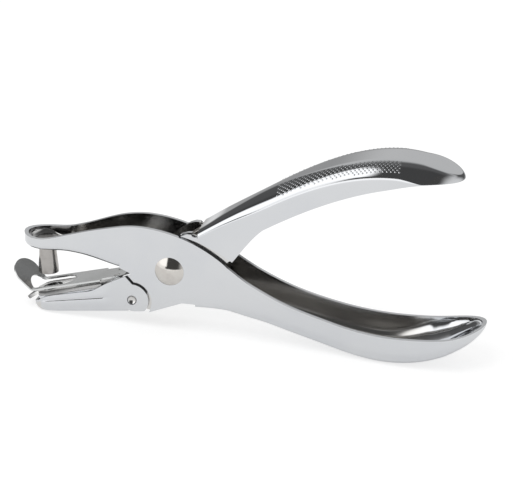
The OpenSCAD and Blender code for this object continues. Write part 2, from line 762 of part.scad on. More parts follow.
// Side of the tray, floor along its lower edge, round rear end about the hinge
module tray_side() {
    intersection() {
        union() {
            circle(tray_end_r);
            polygon([
                [-tray_len + tray_keel_r, -tray_drop], [-tray_len, tray_keel_r - tray_drop],
                [-tray_len, tray_front_h - tray_drop],
                [-tray_len + tray_corner_r, tray_side_h - tray_drop], [-17, tray_side_h + 1.1 - tray_drop],
                [-12, tray_shoulder - 4.5], [-7.7, tray_shoulder - 2.5], [-3.5, tray_shoulder - 0.75],
                [-1.3, tray_shoulder], [0.6, tray_end_r - 0.1], [0, -tray_drop],
            ]);
            translate([-tray_len + tray_keel_r, tray_keel_r - tray_drop])
                circle(tray_keel_r);
        }
        translate([-tray_len, -tray_drop])
            square([tray_len + tray_end_r, tray_drop + tray_shoulder + 1]);
    }
}

module chip_tray() {
    color("gainsboro")
        stand() {
            in_tray()
                difference() {
                    intersection() {
                        plate(-tray_out, tray_out)
                            tray_side();
                        translate([0, 0, -tray_drop])
                            linear_extrude(tray_drop + tray_shoulder + 1)
                                jaw_plan(-tray_len, tray_end_r + 1, 2 * tray_out, tray_corner_r);
                    }
                    translate([0, 0, -tray_drop + tray_t])
                        linear_extrude(tray_drop + tray_shoulder + 1)
                            jaw_plan(-tray_len + tray_t, tray_end_r + 2, 2 * tray_in, tray_corner_r - tray_t);
                    translate([0, -tray_in, -tray_drop - 1])
                        cube([tray_end_r + 2, 2 * tray_in, tray_drop + tray_shoulder + 2]);
                }
            for (side = [-1, 1])
                translate([hinge[0], side * (tray_in - hinge_len / 2 + eps), hinge[1]])
                    rotate([90, 0, 0])
                        cylinder(r = hinge_r, h = hinge_len + 2 * eps, center = true);
        }
}

outer_lever();
inner_lever();
pivot_rivet();
pivot_sleeve();
handle_spring();
punch_pin();
die_plate();
paper_stop();
stripper_plate();
jaw_rivets();
chip_tray();
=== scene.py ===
import json
from math import acos, asin, atan2, copysign, cos, hypot, pi, radians, sin, sqrt, tan

import bmesh
import bpy
from mathutils import Matrix, Vector, geometry


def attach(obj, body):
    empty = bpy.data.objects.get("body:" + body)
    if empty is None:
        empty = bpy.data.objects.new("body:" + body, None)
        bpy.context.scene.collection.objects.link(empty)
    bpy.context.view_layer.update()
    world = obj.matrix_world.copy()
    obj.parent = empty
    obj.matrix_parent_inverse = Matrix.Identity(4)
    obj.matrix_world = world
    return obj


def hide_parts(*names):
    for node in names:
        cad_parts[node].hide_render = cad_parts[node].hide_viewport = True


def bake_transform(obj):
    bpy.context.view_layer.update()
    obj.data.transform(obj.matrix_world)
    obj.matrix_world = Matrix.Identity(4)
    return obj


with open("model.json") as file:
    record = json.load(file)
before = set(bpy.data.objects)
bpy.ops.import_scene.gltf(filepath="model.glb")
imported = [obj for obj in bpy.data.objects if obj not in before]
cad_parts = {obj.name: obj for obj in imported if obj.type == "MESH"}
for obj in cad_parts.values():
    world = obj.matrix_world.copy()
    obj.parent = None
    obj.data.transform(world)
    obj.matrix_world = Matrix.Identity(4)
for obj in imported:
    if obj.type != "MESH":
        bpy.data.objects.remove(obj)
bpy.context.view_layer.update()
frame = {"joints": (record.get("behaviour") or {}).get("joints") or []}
scene = bpy.context.scene

# Outer lever: one blank of steel sheet, pressed into a round-nosed trough for the upper jaw and a deeper one
# for the lower handle, with two flat cheeks between them, then polished and chrome plated. The other pieces
# hang on it, so all of them are drawn in millimetres from the pivot and stood on the floor at the end.
SHEET = 1.2
CHEEK_HALF = 6.5
EDGE_ROUND = 0.16
TRAY_HINGE = (-11.4, -10.0)
CLOSE_ANGLE = radians(8)
joint_at = {j["name"]: Vector(j["pos_m"]) * 1000 for j in frame["joints"]}
hinge_way = joint_at["tray"] - joint_at["handle"]
stance = atan2(hinge_way.z, hinge_way.x) - atan2(TRAY_HINGE[1], TRAY_HINGE[0])
STAND = Matrix.Scale(0.001, 4) @ Matrix.Translation(joint_at["handle"]) @ Matrix.Rotation(-stance, 4, "Y")


def cubic(a, b, c, d, u):
    """Height of a curve that starts at a, ends at d and is drawn towards b and c, at share u."""
    return (1 - u) ** 3 * a + 3 * u * (1 - u) ** 2 * b + 3 * u * u * (1 - u) * c + u ** 3 * d


def share(x, start, end):
    return (x - start) / (end - start)


def ramp(x, start, end):
    """0 up to start, 1 from end on, and a soft rise between them."""
    u = min(1.0, max(0.0, share(x, start, end)))
    return u * u * (3 - 2 * u)


def slant(line, x):
    """How much longer a line is at x than its run."""
    return hypot(1, line(x + 0.5) - line(x - 0.5))


def turned(point, angle):
    c, s = cos(angle), sin(angle)
    return (point[0] * c - point[1] * s, point[0] * s + point[1] * c)


def arc_points(centre, radius, start, end, steps):
    """Points of an arc in a flat outline, angles in degrees."""
    angles = [radians(start + (end - start) * i / steps) for i in range(steps + 1)]
    return [(centre[0] + radius * cos(a), centre[1] + radius * sin(a)) for a in angles]


def circle(centre, radius, steps=40):
    return arc_points(centre, radius, 0, 360, steps)[:-1]


def quarter(steps):
    """Angles of a quarter turn."""
    return [pi / 2 * i / steps for i in range(steps + 1)]


def spread(*stops):
    """Stations from (start, end, steps) stretches that follow each other."""
    found = []
    for start, end, steps in stops:
        found += [start + (end - start) * i / steps for i in range(steps)]
    return found + [stops[-1][1]]


WALL_ROWS = 7
BEND_ROWS = 10
FLOOR_ROWS = 5
END_ROWS = 26
ROWS = WALL_ROWS + BEND_ROWS + FLOOR_ROWS
RING = 2 * ROWS - 1
LEAST_DEPTH = 0.3
LEAST_FLAT = 0.2


def fitted_bend(height, wide, short, depth, width):
    """Height and width of a bend that a trough of this depth and half width has room for."""
    height = min(height, (0.85 + 0.3 * short) * depth)
    return height, min(height * wide, width - LEAST_FLAT)


def trough_skin(half, web, rim, stations, reach, bend, inset=0):
    """One skin of a pressed trough, each station from the near rim over the floor to the far rim.

    bend gives the height of the bend between wall and floor, how many times wider than high it is, and
    the angle by which it stops short of upright, for a trough that ends in an open dome without walls.
    """
    way = copysign(1, stations[-1] - stations[0])
    turns = [(x, 0.0) for x in stations]
    turns += [(stations[-1], a) for a in quarter(END_ROWS)[1:]]

    def lift(x):
        return inset * slant(web, x)

    points = []
    for x0, a in turns:
        width = half(x0) - inset
        at = x0 + way * (reach - inset) * sin(a)
        full = abs(rim(at) - web(at))
        up = copysign(1, rim(at) - web(at))
        depth = max(full - lift(at), LEAST_DEPTH)
        short = bend(at)[2]
        radius, run_in = fitted_bend(*bend(at), depth, width)
        rows = [(0, depth + (radius - depth) * k / (WALL_ROWS - 1)) for k in range(WALL_ROWS)]
        for k in range(1, BEND_ROWS + 1):
            b = short + (pi / 2 - short) * k / BEND_ROWS
            rows.append((run_in * (1 - cos(b) / cos(short)),
                         radius * (1 - sin(b)) / (1 - sin(short))))
        rows += [(run_in + (width - run_in) * k / FLOOR_ROWS, 0) for k in range(1, FLOOR_ROWS + 1)]
        for side, run in ((-1, rows), (1, rows[-2::-1])):
            for step, height in run:
                x = x0 + way * (reach - inset - step) * sin(a)
                points.append((x, side * (width - step) * cos(a), web(x) + up * (lift(x) + height)))
    return points


def grid_faces(count, ring, start=0):
    """Quads between neighbouring rings of points, the first of which has the number start."""
    corners = [start + i * ring + j for i in range(count - 1) for j in range(ring - 1)]
    return [(c, c + 1, c + ring + 1, c + ring) for c in corners]


def wall_points(side, start=0):
    """Numbers of the wall points on one side of a trough's first ring, from the rim to the bend."""
    return [start + (k if side < 0 else RING - 1 - k) for k in range(WALL_ROWS)]


def cut_out(outlines, holes=(), lines=()):
    """Triangles over the union of flat outlines less the holes; lines are extra cuts from edge to edge."""
    corners, loops, cuts = [], [], []
    for outline in [*outlines, *holes]:
        loop = list(range(len(corners), len(corners) + len(outline)))
        turning = sum(p[0] * q[1] - p[1] * q[0] for p, q in zip(outline, outline[1:] + outline[:1]))
        loops.append(loop if turning > 0 else loop[::-1])
        corners += [Vector(p) for p in outline]
    for line in lines:
        cuts.append((len(corners), len(corners) + 1))
        corners += [Vector(p) for p in line]
    flat, _, faces, from_corner, _, from_loop = geometry.delaunay_2d_cdt(corners, cuts, loops, 1, 1e-6)
    solid = set(range(len(outlines)))
    kept = [f for f, origin in zip(faces, from_loop) if origin and set(origin) <= solid]
    return [tuple(p) for p in flat], kept, [c[0] if c else None for c in from_corner]


def join_cheek(outer, inner, faces, outline, holes, face, thickness):
    """Adds a flat cheek to the two skins of a sheet, with its outside at the distance face from the middle.

    A corner of the outline is a flat point, or the number of a point that the skins have already. Gives
    the number that each corner of outline and holes has in the skins.
    """
    known = dict(enumerate(outline))
    corners = [(outer[c][0], outer[c][2]) if isinstance(c, int) else c for c in outline]
    flat, triangles, origin = cut_out([corners], holes)
    numbers = []
    for p, o in zip(flat, origin):
        if isinstance(known.get(o), int):
            numbers.append(known[o])
        else:
            numbers.append(len(outer))
            outer.append((p[0], face, p[1]))
            inner.append((p[0], face - copysign(thickness, face), p[1]))
    faces += [tuple(numbers[v] for v in triangle) for triangle in triangles]
    return dict(zip(origin, numbers))


def fold_sheet(shell, outer, inner, faces):
    """Adds a closed sheet to a mesh: outer skin, inner skin and the cut edge all round."""
    found, pairs, ids = {}, [], []
    for o, i in zip(outer, inner):
        key = tuple(round(c, 4) for c in (*o, *i))
        if key not in found:
            found[key] = len(pairs)
            pairs.append((o, i))
        ids.append(found[key])
    kept, uses = [], {}
    for face in faces:
        loop = list(dict.fromkeys(ids[v] for v in face))
        if len(loop) > 2:
            kept.append(loop)
            for a, b in zip(loop, loop[1:] + loop[:1]):
                uses.setdefault((min(a, b), max(a, b)), []).append((a, b))
    used = {v for loop in kept for v in loop}
    skins = [{v: shell.verts.new(pairs[v][k]) for v in used} for k in (0, 1)]
    for loop in kept:
        shell.faces.new([skins[0][v] for v in loop])
        shell.faces.new([skins[1][v] for v in reversed(loop)])
    for edge in uses.values():
        if len(edge) == 1:
            a, b = edge[0]
            shell.faces.new([skins[0][b], skins[0][a], skins[1][a], skins[1][b]])
    return shell


def plate(shell, outlines, holes, place, thickness, lines=()):
    """Adds a flat or bent plate to a mesh: place turns a flat point and a depth into a point in space."""
    flat, faces, _ = cut_out(outlines, holes, lines)
    return fold_sheet(shell, [place(p, 0) for p in flat], [place(p, thickness) for p in flat], faces)


def new_object(name, data):
    made = bpy.data.objects.new(name, data)
    scene.collection.objects.link(made)
    return made


def make_piece(name, shell, material, rounding=EDGE_ROUND, place=Matrix.Identity(4), shade_depth_at=None):
    """Turns a mesh in millimetres into a piece with broken edges and a material, stood on the floor.

    The last argument says how deep in shade a point lies, from 0 in the open to 1 in the dark, for shade
    painted into the material's colour.
    """
    bmesh.ops.recalc_face_normals(shell, faces=shell.faces)
    mesh = bpy.data.meshes.new(name + "_blank")
    shell.to_mesh(mesh)
    shell.free()
    mesh.shade_smooth()
    mesh.set_sharp_from_angle(angle=radians(40))
    blank = new_object(name + "_blank", mesh)
    if rounding:
        edges = blank.modifiers.new("broken_edges", "BEVEL")
        edges.width = rounding
        edges.segments = 2
        edges.limit_method = "ANGLE"
        edges.angle_limit = radians(48)
        edges.harden_normals = True
    done = bpy.data.meshes.new_from_object(blank.evaluated_get(bpy.context.evaluated_depsgraph_get()))
    bpy.data.objects.remove(blank)
    bpy.data.meshes.remove(mesh)
    done.name = name
    if shade_depth_at:
        depth = done.attributes.new("depth", "FLOAT", "POINT")
        depth.data.foreach_set("value", [shade_depth_at(*v.co) for v in done.vertices])
    done.materials.append(material)
    done.transform(STAND @ place)
    return new_object(name, done)


class Wire:
    """A socket in a material: sums and products of wires add Math nodes, and node() adds any other."""

    def __init__(self, tree, socket=None):
        self.tree, self.socket = tree, socket

    def node(self, kind, settings=(), inputs=(), output=0):
        made = self.tree.nodes.new(kind)
        for key, value in dict(settings).items():
            if key == "stops":
                ramp = made.color_ramp.elements
                while len(ramp) < len(value):
                    ramp.new(0.5)
                for stop, (place, colour) in zip(ramp, value):
                    stop.position, stop.color = place, colour
            else:
                setattr(made, key, value)
        for key, value in dict(inputs).items():
            if isinstance(value, Wire):
                self.tree.links.new(value.socket, made.inputs[key])
            else:
                made.inputs[key].default_value = value
        return Wire(self.tree, made.outputs[output] if made.outputs else None)

    def sum(self, operation, *values):
        return self.node("ShaderNodeMath", {"operation": operation}, dict(enumerate(values)))

    def __add__(self, other):
        return self.sum("ADD", self, other)

    __radd__ = __add__

    def __mul__(self, other):
        return self.sum("MULTIPLY", self, other)

    __rmul__ = __mul__

    def __sub__(self, other):
        return self.sum("SUBTRACT", self, other)

    def __rsub__(self, other):
        return self.sum("SUBTRACT", other, self)

    def between(self, low, high):
        """0 below low, 1 above high, and a soft step from one to the other."""
        return self.node("ShaderNodeMapRange", {"interpolation_type": "SMOOTHSTEP"},
                         {"Value": self, "From Min": low, "From Max": high})

    def blend(self, first, second):
        """A value that goes from first to second with this wire."""
        return first + self * (second - first)

    def mixed(self, first, second):
        """Two colours mixed by this wire."""
        return self.node("ShaderNodeMix", {"data_type": "RGBA"}, {0: self, 6: first, 7: second}, 2)


def new_finish(name):
    material = bpy.data.materials.new(name)
    material.use_nodes = True
    material.node_tree.nodes.clear()
    start = Wire(material.node_tree)
    return material, start, start.node("ShaderNodeTexCoord", output="Object")


def noise(start, where, scale, detail=2.0, stretch=None):
    if stretch:
        where = start.node("ShaderNodeMapping", {}, {"Vector": where, "Scale": stretch})
    return start.node("ShaderNodeTexNoise", {}, {"Vector": where, "Scale": scale, "Detail": detail})


def new_metal(name, colour, dull, cloud, limits, grain, relief, roughness, deep_shade=None):
    """A bare or plated metal with a dull cloud on its colour and a faint relief by its grain.

    The last argument, a colour, is painted shade, mixed in where a piece is marked as lying in shade.
    roughness holds a base and what cloud, grain and depth add to it.
    """
    material, start, where = new_finish(name)
    cloud, grain, depth = noise(start, where, *cloud), noise(start, where, *grain), 0
    colour = cloud.between(*limits).mixed(colour, dull)
    if deep_shade:
        depth = start.node("ShaderNodeAttribute", {"attribute_name": "depth"}, output="Fac")
        colour = depth.mixed(colour, deep_shade)
    base, *shares = roughness
    rough = sum((part * wire for part, wire in zip(shares, (cloud, grain, depth)) if part), base)
    bump = start.node("ShaderNodeBump", {}, {"Strength": relief, "Distance": 0.0001, "Height": grain})
    surface = start.node("ShaderNodeBsdfPrincipled", {}, {
        "Base Color": colour, "Metallic": 1.0, "Roughness": rough, "Normal": bump})
    start.node("ShaderNodeOutputMaterial", {}, {"Surface": surface})
    return material


# The deep colour, darker and warmer, goes into the troughs and between the cheeks: partly the thinner plating
# there, and partly painted shade.
chrome = new_metal("chrome_plate", colour=(0.59, 0.6, 0.613, 1), dull=(0.565, 0.577, 0.596, 1),
                   deep_shade=(0.57, 0.56, 0.545, 1), cloud=(55.0, 3.0), limits=(0.35, 0.75), grain=(900.0,),
                   relief=0.02, roughness=(0.04, 0.05, 0, 0.12))

NOSE_R = 6.4
NOSE_CENTRE = -38.4
NOSE_TIP = NOSE_CENTRE - NOSE_R
JAW_END = -15.0
RIM_END = -8.0
JAW_WAIST = 4.75
JAW_BEND = 1.6
JAW_FLOOR_LINE = (3.4, 3.6, 2.2, -0.1)
CHEEK_CENTRE = (-11.0, -30.1)
CHEEK_RADIUS = 43.0
PIVOT_HOLE_R = 2.52


def cheek_arc(x):
    return CHEEK_CENTRE[1] + sqrt(CHEEK_RADIUS ** 2 - (x - CHEEK_CENTRE[0]) ** 2)


JAW_RIM_LINE = (7.4, 4.6, 13.65, cheek_arc(RIM_END))


def jaw_floor(x):
    return cubic(*JAW_FLOOR_LINE, share(x, NOSE_TIP, JAW_END))


def jaw_rim(x):
    if x > RIM_END:
        return cheek_arc(x)
    return cubic(*JAW_RIM_LINE, share(x, NOSE_TIP, RIM_END))


def jaw_half(x):
    return (JAW_WAIST + (NOSE_R - JAW_WAIST) * (1 - ramp(x, NOSE_CENTRE, NOSE_CENTRE + 8))
            + (CHEEK_HALF - JAW_WAIST) * ramp(x, -28, JAW_END))


LOWER_START = 7.5
LOWER_END = 91.27
LOWER_WEB_LINE = (-10.6, -9.6, -36.9, -12.2)
LOWER_RIM_START = 17.0
LOWER_RIM_LINE = (cheek_arc(LOWER_RIM_START), -12.8, -18.5, -10.2)
TAIL_ROUND = 12.0
TAIL_HALF = 9.8
TAIL_RIM_DROP = 0.45
FLARE_SIDE = 0.7
FLARE_WEB_DROP = 0.45
FLARE_RIM_DROP = 0.6


def handle_half(x):
    return CHEEK_HALF + (TAIL_HALF - CHEEK_HALF) * ramp(x, 20, 68)


def handle_bend(x):
    return 0.9 + 3.1 * ramp(x, 8, 32)


def flare(x):
    """1 where the lower handle leaves the cheeks and spreads, and 0 before and behind."""
    return ramp(x, 15, 24) * (1 - ramp(x, 30, 48))


def lower_half(x):
    return handle_half(x) + FLARE_SIDE * flare(x)


def lower_web(x):
    return cubic(*LOWER_WEB_LINE, share(x, LOWER_START, LOWER_END)) - FLARE_WEB_DROP * flare(x)


def lower_rim(x):
    if x < LOWER_RIM_START:
        line = cheek_arc(x)
    else:
        line = cubic(*LOWER_RIM_LINE, share(x, LOWER_RIM_START, LOWER_END))
    return line - TAIL_RIM_DROP * ramp(x, 68, 84) - FLARE_RIM_DROP * flare(x)


def jaw_inside(x):
    """The bend inside the jaw, opened out towards the nose."""
    return 0.4 + 1.5 * (1 - ramp(x, -41, -35)), 1.0, 0.0


def spoon(x):
    """The bend inside the lower handle, which opens out into a spoon at the tail."""
    tail = ramp(x, 58, 80)
    return max(handle_bend(x) - SHEET, 0.25) + 3.0 * tail, 1.0 + 0.8 * tail, 0.0


jaw_lines = (jaw_half, jaw_floor, jaw_rim, spread((JAW_END, NOSE_CENTRE, 60)), NOSE_R)
lower_stations = spread((LOWER_START, LOWER_RIM_START, 18), (LOWER_RIM_START, LOWER_END - TAIL_ROUND, 90))
lower_lines = (lower_half, lower_web, lower_rim, lower_stations, TAIL_ROUND)
outer, inner, faces, starts = [], [], [], []
for lines, outside, inside in ((jaw_lines, lambda x: (JAW_BEND, 1.0, 0.0), jaw_inside),
                               (lower_lines, lambda x: (handle_bend(x), 1.0, 0.0), spoon)):
    starts.append(len(outer))
    skin = trough_skin(*lines, outside)
    faces += grid_faces(len(skin) // RING, RING, len(outer))
    outer += skin
    inner += trough_skin(*lines, inside, SHEET)

closed_hinge = turned(TRAY_HINGE, -CLOSE_ANGLE)
cheek_bottom = [(-14.8, -0.1), (-11.3, -1.7)]
cheek_bottom += arc_points(closed_hinge, 5.25, 74.75, 47.5, 8)
cheek_bottom += arc_points(TRAY_HINGE, 6.0, 67.8, -32.2, 26)[1:]
cheek_bottom += [(-6.2, -13.2), (3.6, -9.6)]
cheek_top = [(x, jaw_rim(x)) for x in spread((LOWER_START, JAW_END, 50))[1:-1]]
for side in (-1, 1):
    jaw_edge, handle_edge = (wall_points(side, start) for start in starts)
    join_cheek(outer, inner, faces, jaw_edge + cheek_bottom + handle_edge[::-1] + cheek_top,
               [circle((0, 0), PIVOT_HOLE_R, 48)], side * CHEEK_HALF, SHEET)


def under_skin(from_wall, from_web, bend):
    """How far under the outer skin of a trough a point lies, with the bend between wall and web."""
    if max(from_wall, from_web) < bend:
        return bend - hypot(bend - from_wall, bend - from_web)
    return min(from_wall, from_web)


def outer_shade_depth(x, y, z):
    """Painted shade, with the thinner plating of the hollows: the jaw's trough and the space between the
    cheeks are dark, the lower handle only down to its tail.
    """
    half, web, rim, bend = ((jaw_half, jaw_floor, jaw_rim, JAW_BEND) if x < JAW_END else
                            (lower_half, lower_web, lower_rim, handle_bend(x)) if x > LOWER_START else
                            (lambda x: CHEEK_HALF, lambda x: -30.0, jaw_rim, 0))
    from_wall = NOSE_R - hypot(x - NOSE_CENTRE, y) if x < NOSE_CENTRE else half(x) - abs(y)
    if under_skin(from_wall, z - web(x), bend) < 0.6:
        return 0.0
    sunk = ramp(rim(x) - z, 0.15, 1.2)
    return sunk * (0.6 + 0.4 * ramp(x, -38, -33)) * (1 - ramp(x, 66, 78))


shell = fold_sheet(bmesh.new(), outer, inner, faces)
outer_lever = make_piece("outer_lever_shell", shell, chrome, shade_depth_at=outer_shade_depth)
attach(outer_lever, "outer")
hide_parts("outer_lever")

# Punch: a turned and hardened steel pin that widens towards its ground cutting edge. Its shank goes up
# through the jaw's floor, where its end is staked over into a flat head.
PUNCH_REACH = 38.2
PUNCH_LEAN = radians(1)
PUNCH_TIP = (-38.0491, -5.3365)
PUNCH_TIP_R = 3.0
PUNCH_TAPER = 0.5
PUNCH_LAND = 0.5
PUNCH_SHOULDER = 0.35
PUNCH_SHANK_R = 2.2
PUNCH_HEAD = [(3.4, 1.45), (3.4, 1.75), (2.9, 2.15), (2.3, 2.25), (0, 2.25)]
punch_top = jaw_floor(-PUNCH_REACH)
punch_len = hypot(PUNCH_TIP[0] + PUNCH_REACH, PUNCH_TIP[1] - punch_top)


def bridge(shell, rings):
    """Adds the skin between neighbouring rings of points, with triangles where a ring is one point."""
    for low, high in zip(rings, rings[1:]):
        for i in range(len(low)):
            j = (i + 1) % len(low)
            loop = list(dict.fromkeys([low[i], low[j], high[j], high[i]]))
            if len(loop) > 2:
                shell.faces.new(loop)
    return shell


def turn_on_axis(profile, steps):
    """The mesh of a turned piece with a profile of (radius, height), closed where it meets the axis."""
    shell, rings = bmesh.new(), []
    for radius, height in profile:
        if radius == 0:
            rings.append([shell.verts.new((0, 0, height))] * steps)
        else:
            rings.append([shell.verts.new((radius * cos(a), radius * sin(a), height))
                          for a in (2 * pi * i / steps for i in range(steps))])
    return bridge(shell, rings)


shoulder = punch_len - PUNCH_SHOULDER
punch_body = [(PUNCH_TIP_R - PUNCH_TAPER * ramp(h, PUNCH_LAND, shoulder) ** 0.8, h - punch_len)
              for h in spread((PUNCH_LAND, shoulder, 12))]
punch_profile = [(0, -punch_len), (2.0, -punch_len), (PUNCH_TIP_R, -punch_len)] + punch_body
punch_profile += [(PUNCH_SHANK_R, -PUNCH_SHOULDER), (PUNCH_SHANK_R, PUNCH_HEAD[0][1])] + PUNCH_HEAD
tool_steel = new_metal("ground_tool_steel", colour=(0.39, 0.375, 0.36, 1), dull=(0.26, 0.245, 0.23, 1),
                       deep_shade=(0.13, 0.125, 0.12, 1), cloud=(240.0, 3.0), limits=(0.45, 0.8),
                       grain=(260.0, 4.0, (1.0, 1.0, 14.0)), relief=0.12, roughness=(0.16, 0, 0.12, 0))
# The shank and staked head up in the jaw's trough take the tool steel's near-black deep colour: painted
# shade.
punch = make_piece(
    "punch_pin_turned", turn_on_axis(punch_profile, 72), tool_steel, 0.06,
    Matrix.Translation((-PUNCH_REACH, 0, punch_top)) @ Matrix.Rotation(-PUNCH_LEAN, 4, "Y"),
    lambda x, y, z: 1.0 if z > 1.3 else 0.0)
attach(punch, "outer")
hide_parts("punch_pin")

# Inner lever: the second blank, chrome plated too. Its handle is an inverted trough with spoon-shaped sides
# that run flush with the cheeks, and stepped inwards it goes on as two inner cheeks and the lower jaw's web.
UPPER_START = 8.4
UPPER_END = 84.0
CROWN_LINE = (12.6, 29.0, 46.83, 33.3)
NECK_RISE = 0.27
NECK_SPREAD = 0.3
TAIL_SPREAD = 0.2
TAIL_SHORT = 0.45
TIP_X = 18.5
TIP_RISE = 3.9
TIP_END_LINE = (12.4, 14.8)
EDGE_START = 27.5
EDGE_LINE = (14.8, 26, 34.2, 31.7)
TAIL_EDGE_RISE = 0.75
ARC_RADIUS = CHEEK_RADIUS + 0.6
JAW_OPEN = radians(13)
INNER_OUT = 5.2
INNER_IN = 4.0
PAD_OUT = 5.4
PAD_T = 0.3
BOSS_R = 7.6
TURNING_HOLE_R = 2.55
TRAY_BOSS_R = 2.4
TRAY_HOLE_R = 1.35
RELIEF = (7.5, 11.9)
RELIEF_R = 0.9
arc_centre = turned(CHEEK_CENTRE, CLOSE_ANGLE)


def neck(x):
    """1 along the handle's neck, from the cheeks to the first grip dots, and 0 beyond it."""
    return ramp(x, 9, 16) * (1 - ramp(x, 30, 46))


def crown(x):
    return cubic(*CROWN_LINE, share(x, 8, UPPER_END)) + NECK_RISE * neck(x)


def upper_bend(x):
    """The bend along the crown, which is wider at the neck and opens out into a dome at the tail."""
    wide = 1.0 + NECK_SPREAD * neck(x) + TAIL_SPREAD * ramp(x, 45, 84)
    return 2.2 + 2.4 * ramp(x, 8, 30), wide, TAIL_SHORT * ramp(x, 66, 76)


def upper_inside(x):
    height, wide, short = upper_bend(x)
    return height - SHEET, wide, short


def handle_arc(x):
    return arc_centre[1] + sqrt(ARC_RADIUS ** 2 - (x - arc_centre[0]) ** 2)


def upper_edge(x):
    if x < TIP_X:
        return handle_arc(x)
    if x < EDGE_START:
        tip = handle_arc(TIP_X)
        return cubic(tip, tip + TIP_RISE, *TIP_END_LINE, share(x, TIP_X, EDGE_START))
    return cubic(*EDGE_LINE, share(x, EDGE_START, UPPER_END)) + TAIL_EDGE_RISE * ramp(x, 62, 77)


upper_stations = spread((UPPER_START, TIP_X, 24), (TIP_X, EDGE_START, 24),
                        (EDGE_START, UPPER_END - TAIL_ROUND, 80))
upper_lines = (handle_half, crown, upper_edge, upper_stations, TAIL_ROUND)
outer = trough_skin(*upper_lines, upper_bend)
inner = trough_skin(*upper_lines, upper_inside, SHEET)
faces = grid_faces(len(outer) // RING, RING)
horn = arc_points(RELIEF, RELIEF_R, -42, -165, 14) + [(5.2, 11.7), (3.45, 11.06)]
front_arc = [(x, handle_arc(x)) for x in spread((3.45, UPPER_START, 16))[1:-1]]
for side in (-1, 1):
    join_cheek(outer, inner, faces, wall_points(side) + horn + front_arc, (), side * CHEEK_HALF, SHEET)
shell = fold_sheet(bmesh.new(), outer, inner, faces)


def jaw_point(x, z):
    return turned((x, z), JAW_OPEN)


TRAY_PITCH = radians(4.9)


def tray_point(x, z):
    p = turned((x, z), TRAY_PITCH)
    return (TRAY_HINGE[0] + p[0], TRAY_HINGE[1] + p[1])


JAW_TOP = -2.4
step_pad = [(4.2, 11.3), (5.2, 11.62), (6.5, 11.62), (8.4, 10.9)]
step_pad += [(x, crown(x) - upper_bend(x)[0] - 0.3) for x in (9.5, 12, 16, 20)]
step_pad += [(20, upper_edge(20) + 0.6), (TIP_X, handle_arc(TIP_X) + 0.35)]
step_pad += [(x, handle_arc(x) + 0.06) for x in spread((TIP_X - 0.2, 4.2, 20))]
root = [(-2.28, 7.22), (1.4, 10.1), (3.4, 11.3), (5.2, 11.9), (6.8, 12.0), (8.4, 12.05),
        (10, crown(10) - SHEET), (22, crown(22) - 1.8), (21, upper_edge(21) + 0.5),
        (TIP_X, handle_arc(TIP_X) + 0.6), (6.31, -4.18)]
jaw_wall = [jaw_point(-36.5, -3.0), jaw_point(-21.65, -2.5), (-19.5, -6.1), (-17.5, -4.7), (-12.1, -2.4),
            (-6.08, 3.8), (-2.28, -6.84), (-4.4, -11.2), (-6.1, -12.9), (-7.4, -12.6),
            (-7.8, -11.2), (-9.1, -10.75), tray_point(1, -1.9), tray_point(-25, -1.9),
            jaw_point(-36.5, -4.6)]
inner_outlines = [circle((0, 0), BOSS_R, 72), root, jaw_wall, circle(TRAY_HINGE, TRAY_BOSS_R, 36)]
inner_holes = [circle((0, 0), TURNING_HOLE_R, 48), circle(TRAY_HINGE, TRAY_HOLE_R, 32),
               circle(RELIEF, RELIEF_R, 32)]
for side in (-1, 1):
    plate(shell, inner_outlines, inner_holes, lambda p, d: (p[0], side * (INNER_OUT - d), p[1]), SHEET)
    plate(shell, [step_pad], [], lambda p, d: (p[0], side * (PAD_OUT - d), p[1]), PAD_T)

IN_JAW = Matrix.Rotation(-JAW_OPEN, 4, "Y")
DIE_X = -38.3694
JAW_FRONT = DIE_X - 4.05
JAW_BACK = -13.5
JAW_W = 10.36
JAW_CORNER = 3.4
CHIP_HOLE_R = 3.4
jaw_rivet_at = [(-17.1, -2.5), (-17.1, 2.5)]
rivet_holes = [circle(p, 0.92, 20) for p in jaw_rivet_at]


def round_front(front, back, width, corner):
    """Plan of a strip with round corners in front."""
    half = width / 2
    return (arc_points((front + corner, -half + corner), corner, 270, 180, 12)
            + arc_points((front + corner, half - corner), corner, 180, 90, 12)
            + [(back, half), (back, -half)])


def in_jaw(p, z):
    return IN_JAW @ Vector((p[0], p[1], z))


plate(shell, [round_front(JAW_FRONT, JAW_BACK, JAW_W, JAW_CORNER)],
      [circle((DIE_X, 0), CHIP_HOLE_R)] + rivet_holes, lambda p, d: in_jaw(p, JAW_TOP - d), SHEET)


def crown_section(x):
    """Half the flat of the crown at x, and the width and height of the bend beside it."""
    height, width = fitted_bend(*upper_bend(x), crown(x) - upper_edge(x), handle_half(x))
    return handle_half(x) - width, width, height


def crown_drop(x, y):
    """How far the handle's skin lies under the crown line at a distance y from the middle."""
    flat, width, height = crown_section(x)
    short = upper_bend(x)[2]
    rest = (1 - min(1.0, max(0.0, (y - flat) / width)) ** 2 * cos(short) ** 2) ** 0.5
    return height * (1 - rest) / (1 - sin(short))


def inner_shade_depth(x, y, z):
    """Painted shade, with the thinner plating of the hollows: under the handle and between the inner cheeks
    it is dark, and so are their hidden outer faces.
    """
    if x > 9 and z > upper_edge(x):
        if min(handle_half(x) - abs(y), crown(x) - crown_drop(x, abs(y)) - z) < 0.6:
            return 0.0
        return 0.9 * ramp(z - upper_edge(x), 0.15, 1.2) * (1 - ramp(x, 74, 82))
    for (x0, z0), (x1, z1) in zip(root[:5], root[1:6]):
        if x0 <= x < x1 and z > z0 + share(x, x0, x1) * (z1 - z0) - 0.04:
            return 0.0
    if x > -9 and abs(y) < 5.25:
        return 0.9
    return 0.0


inner_lever = make_piece("inner_lever_shell", shell, chrome, shade_depth_at=inner_shade_depth)
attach(inner_lever, "inner")
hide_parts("inner_lever")

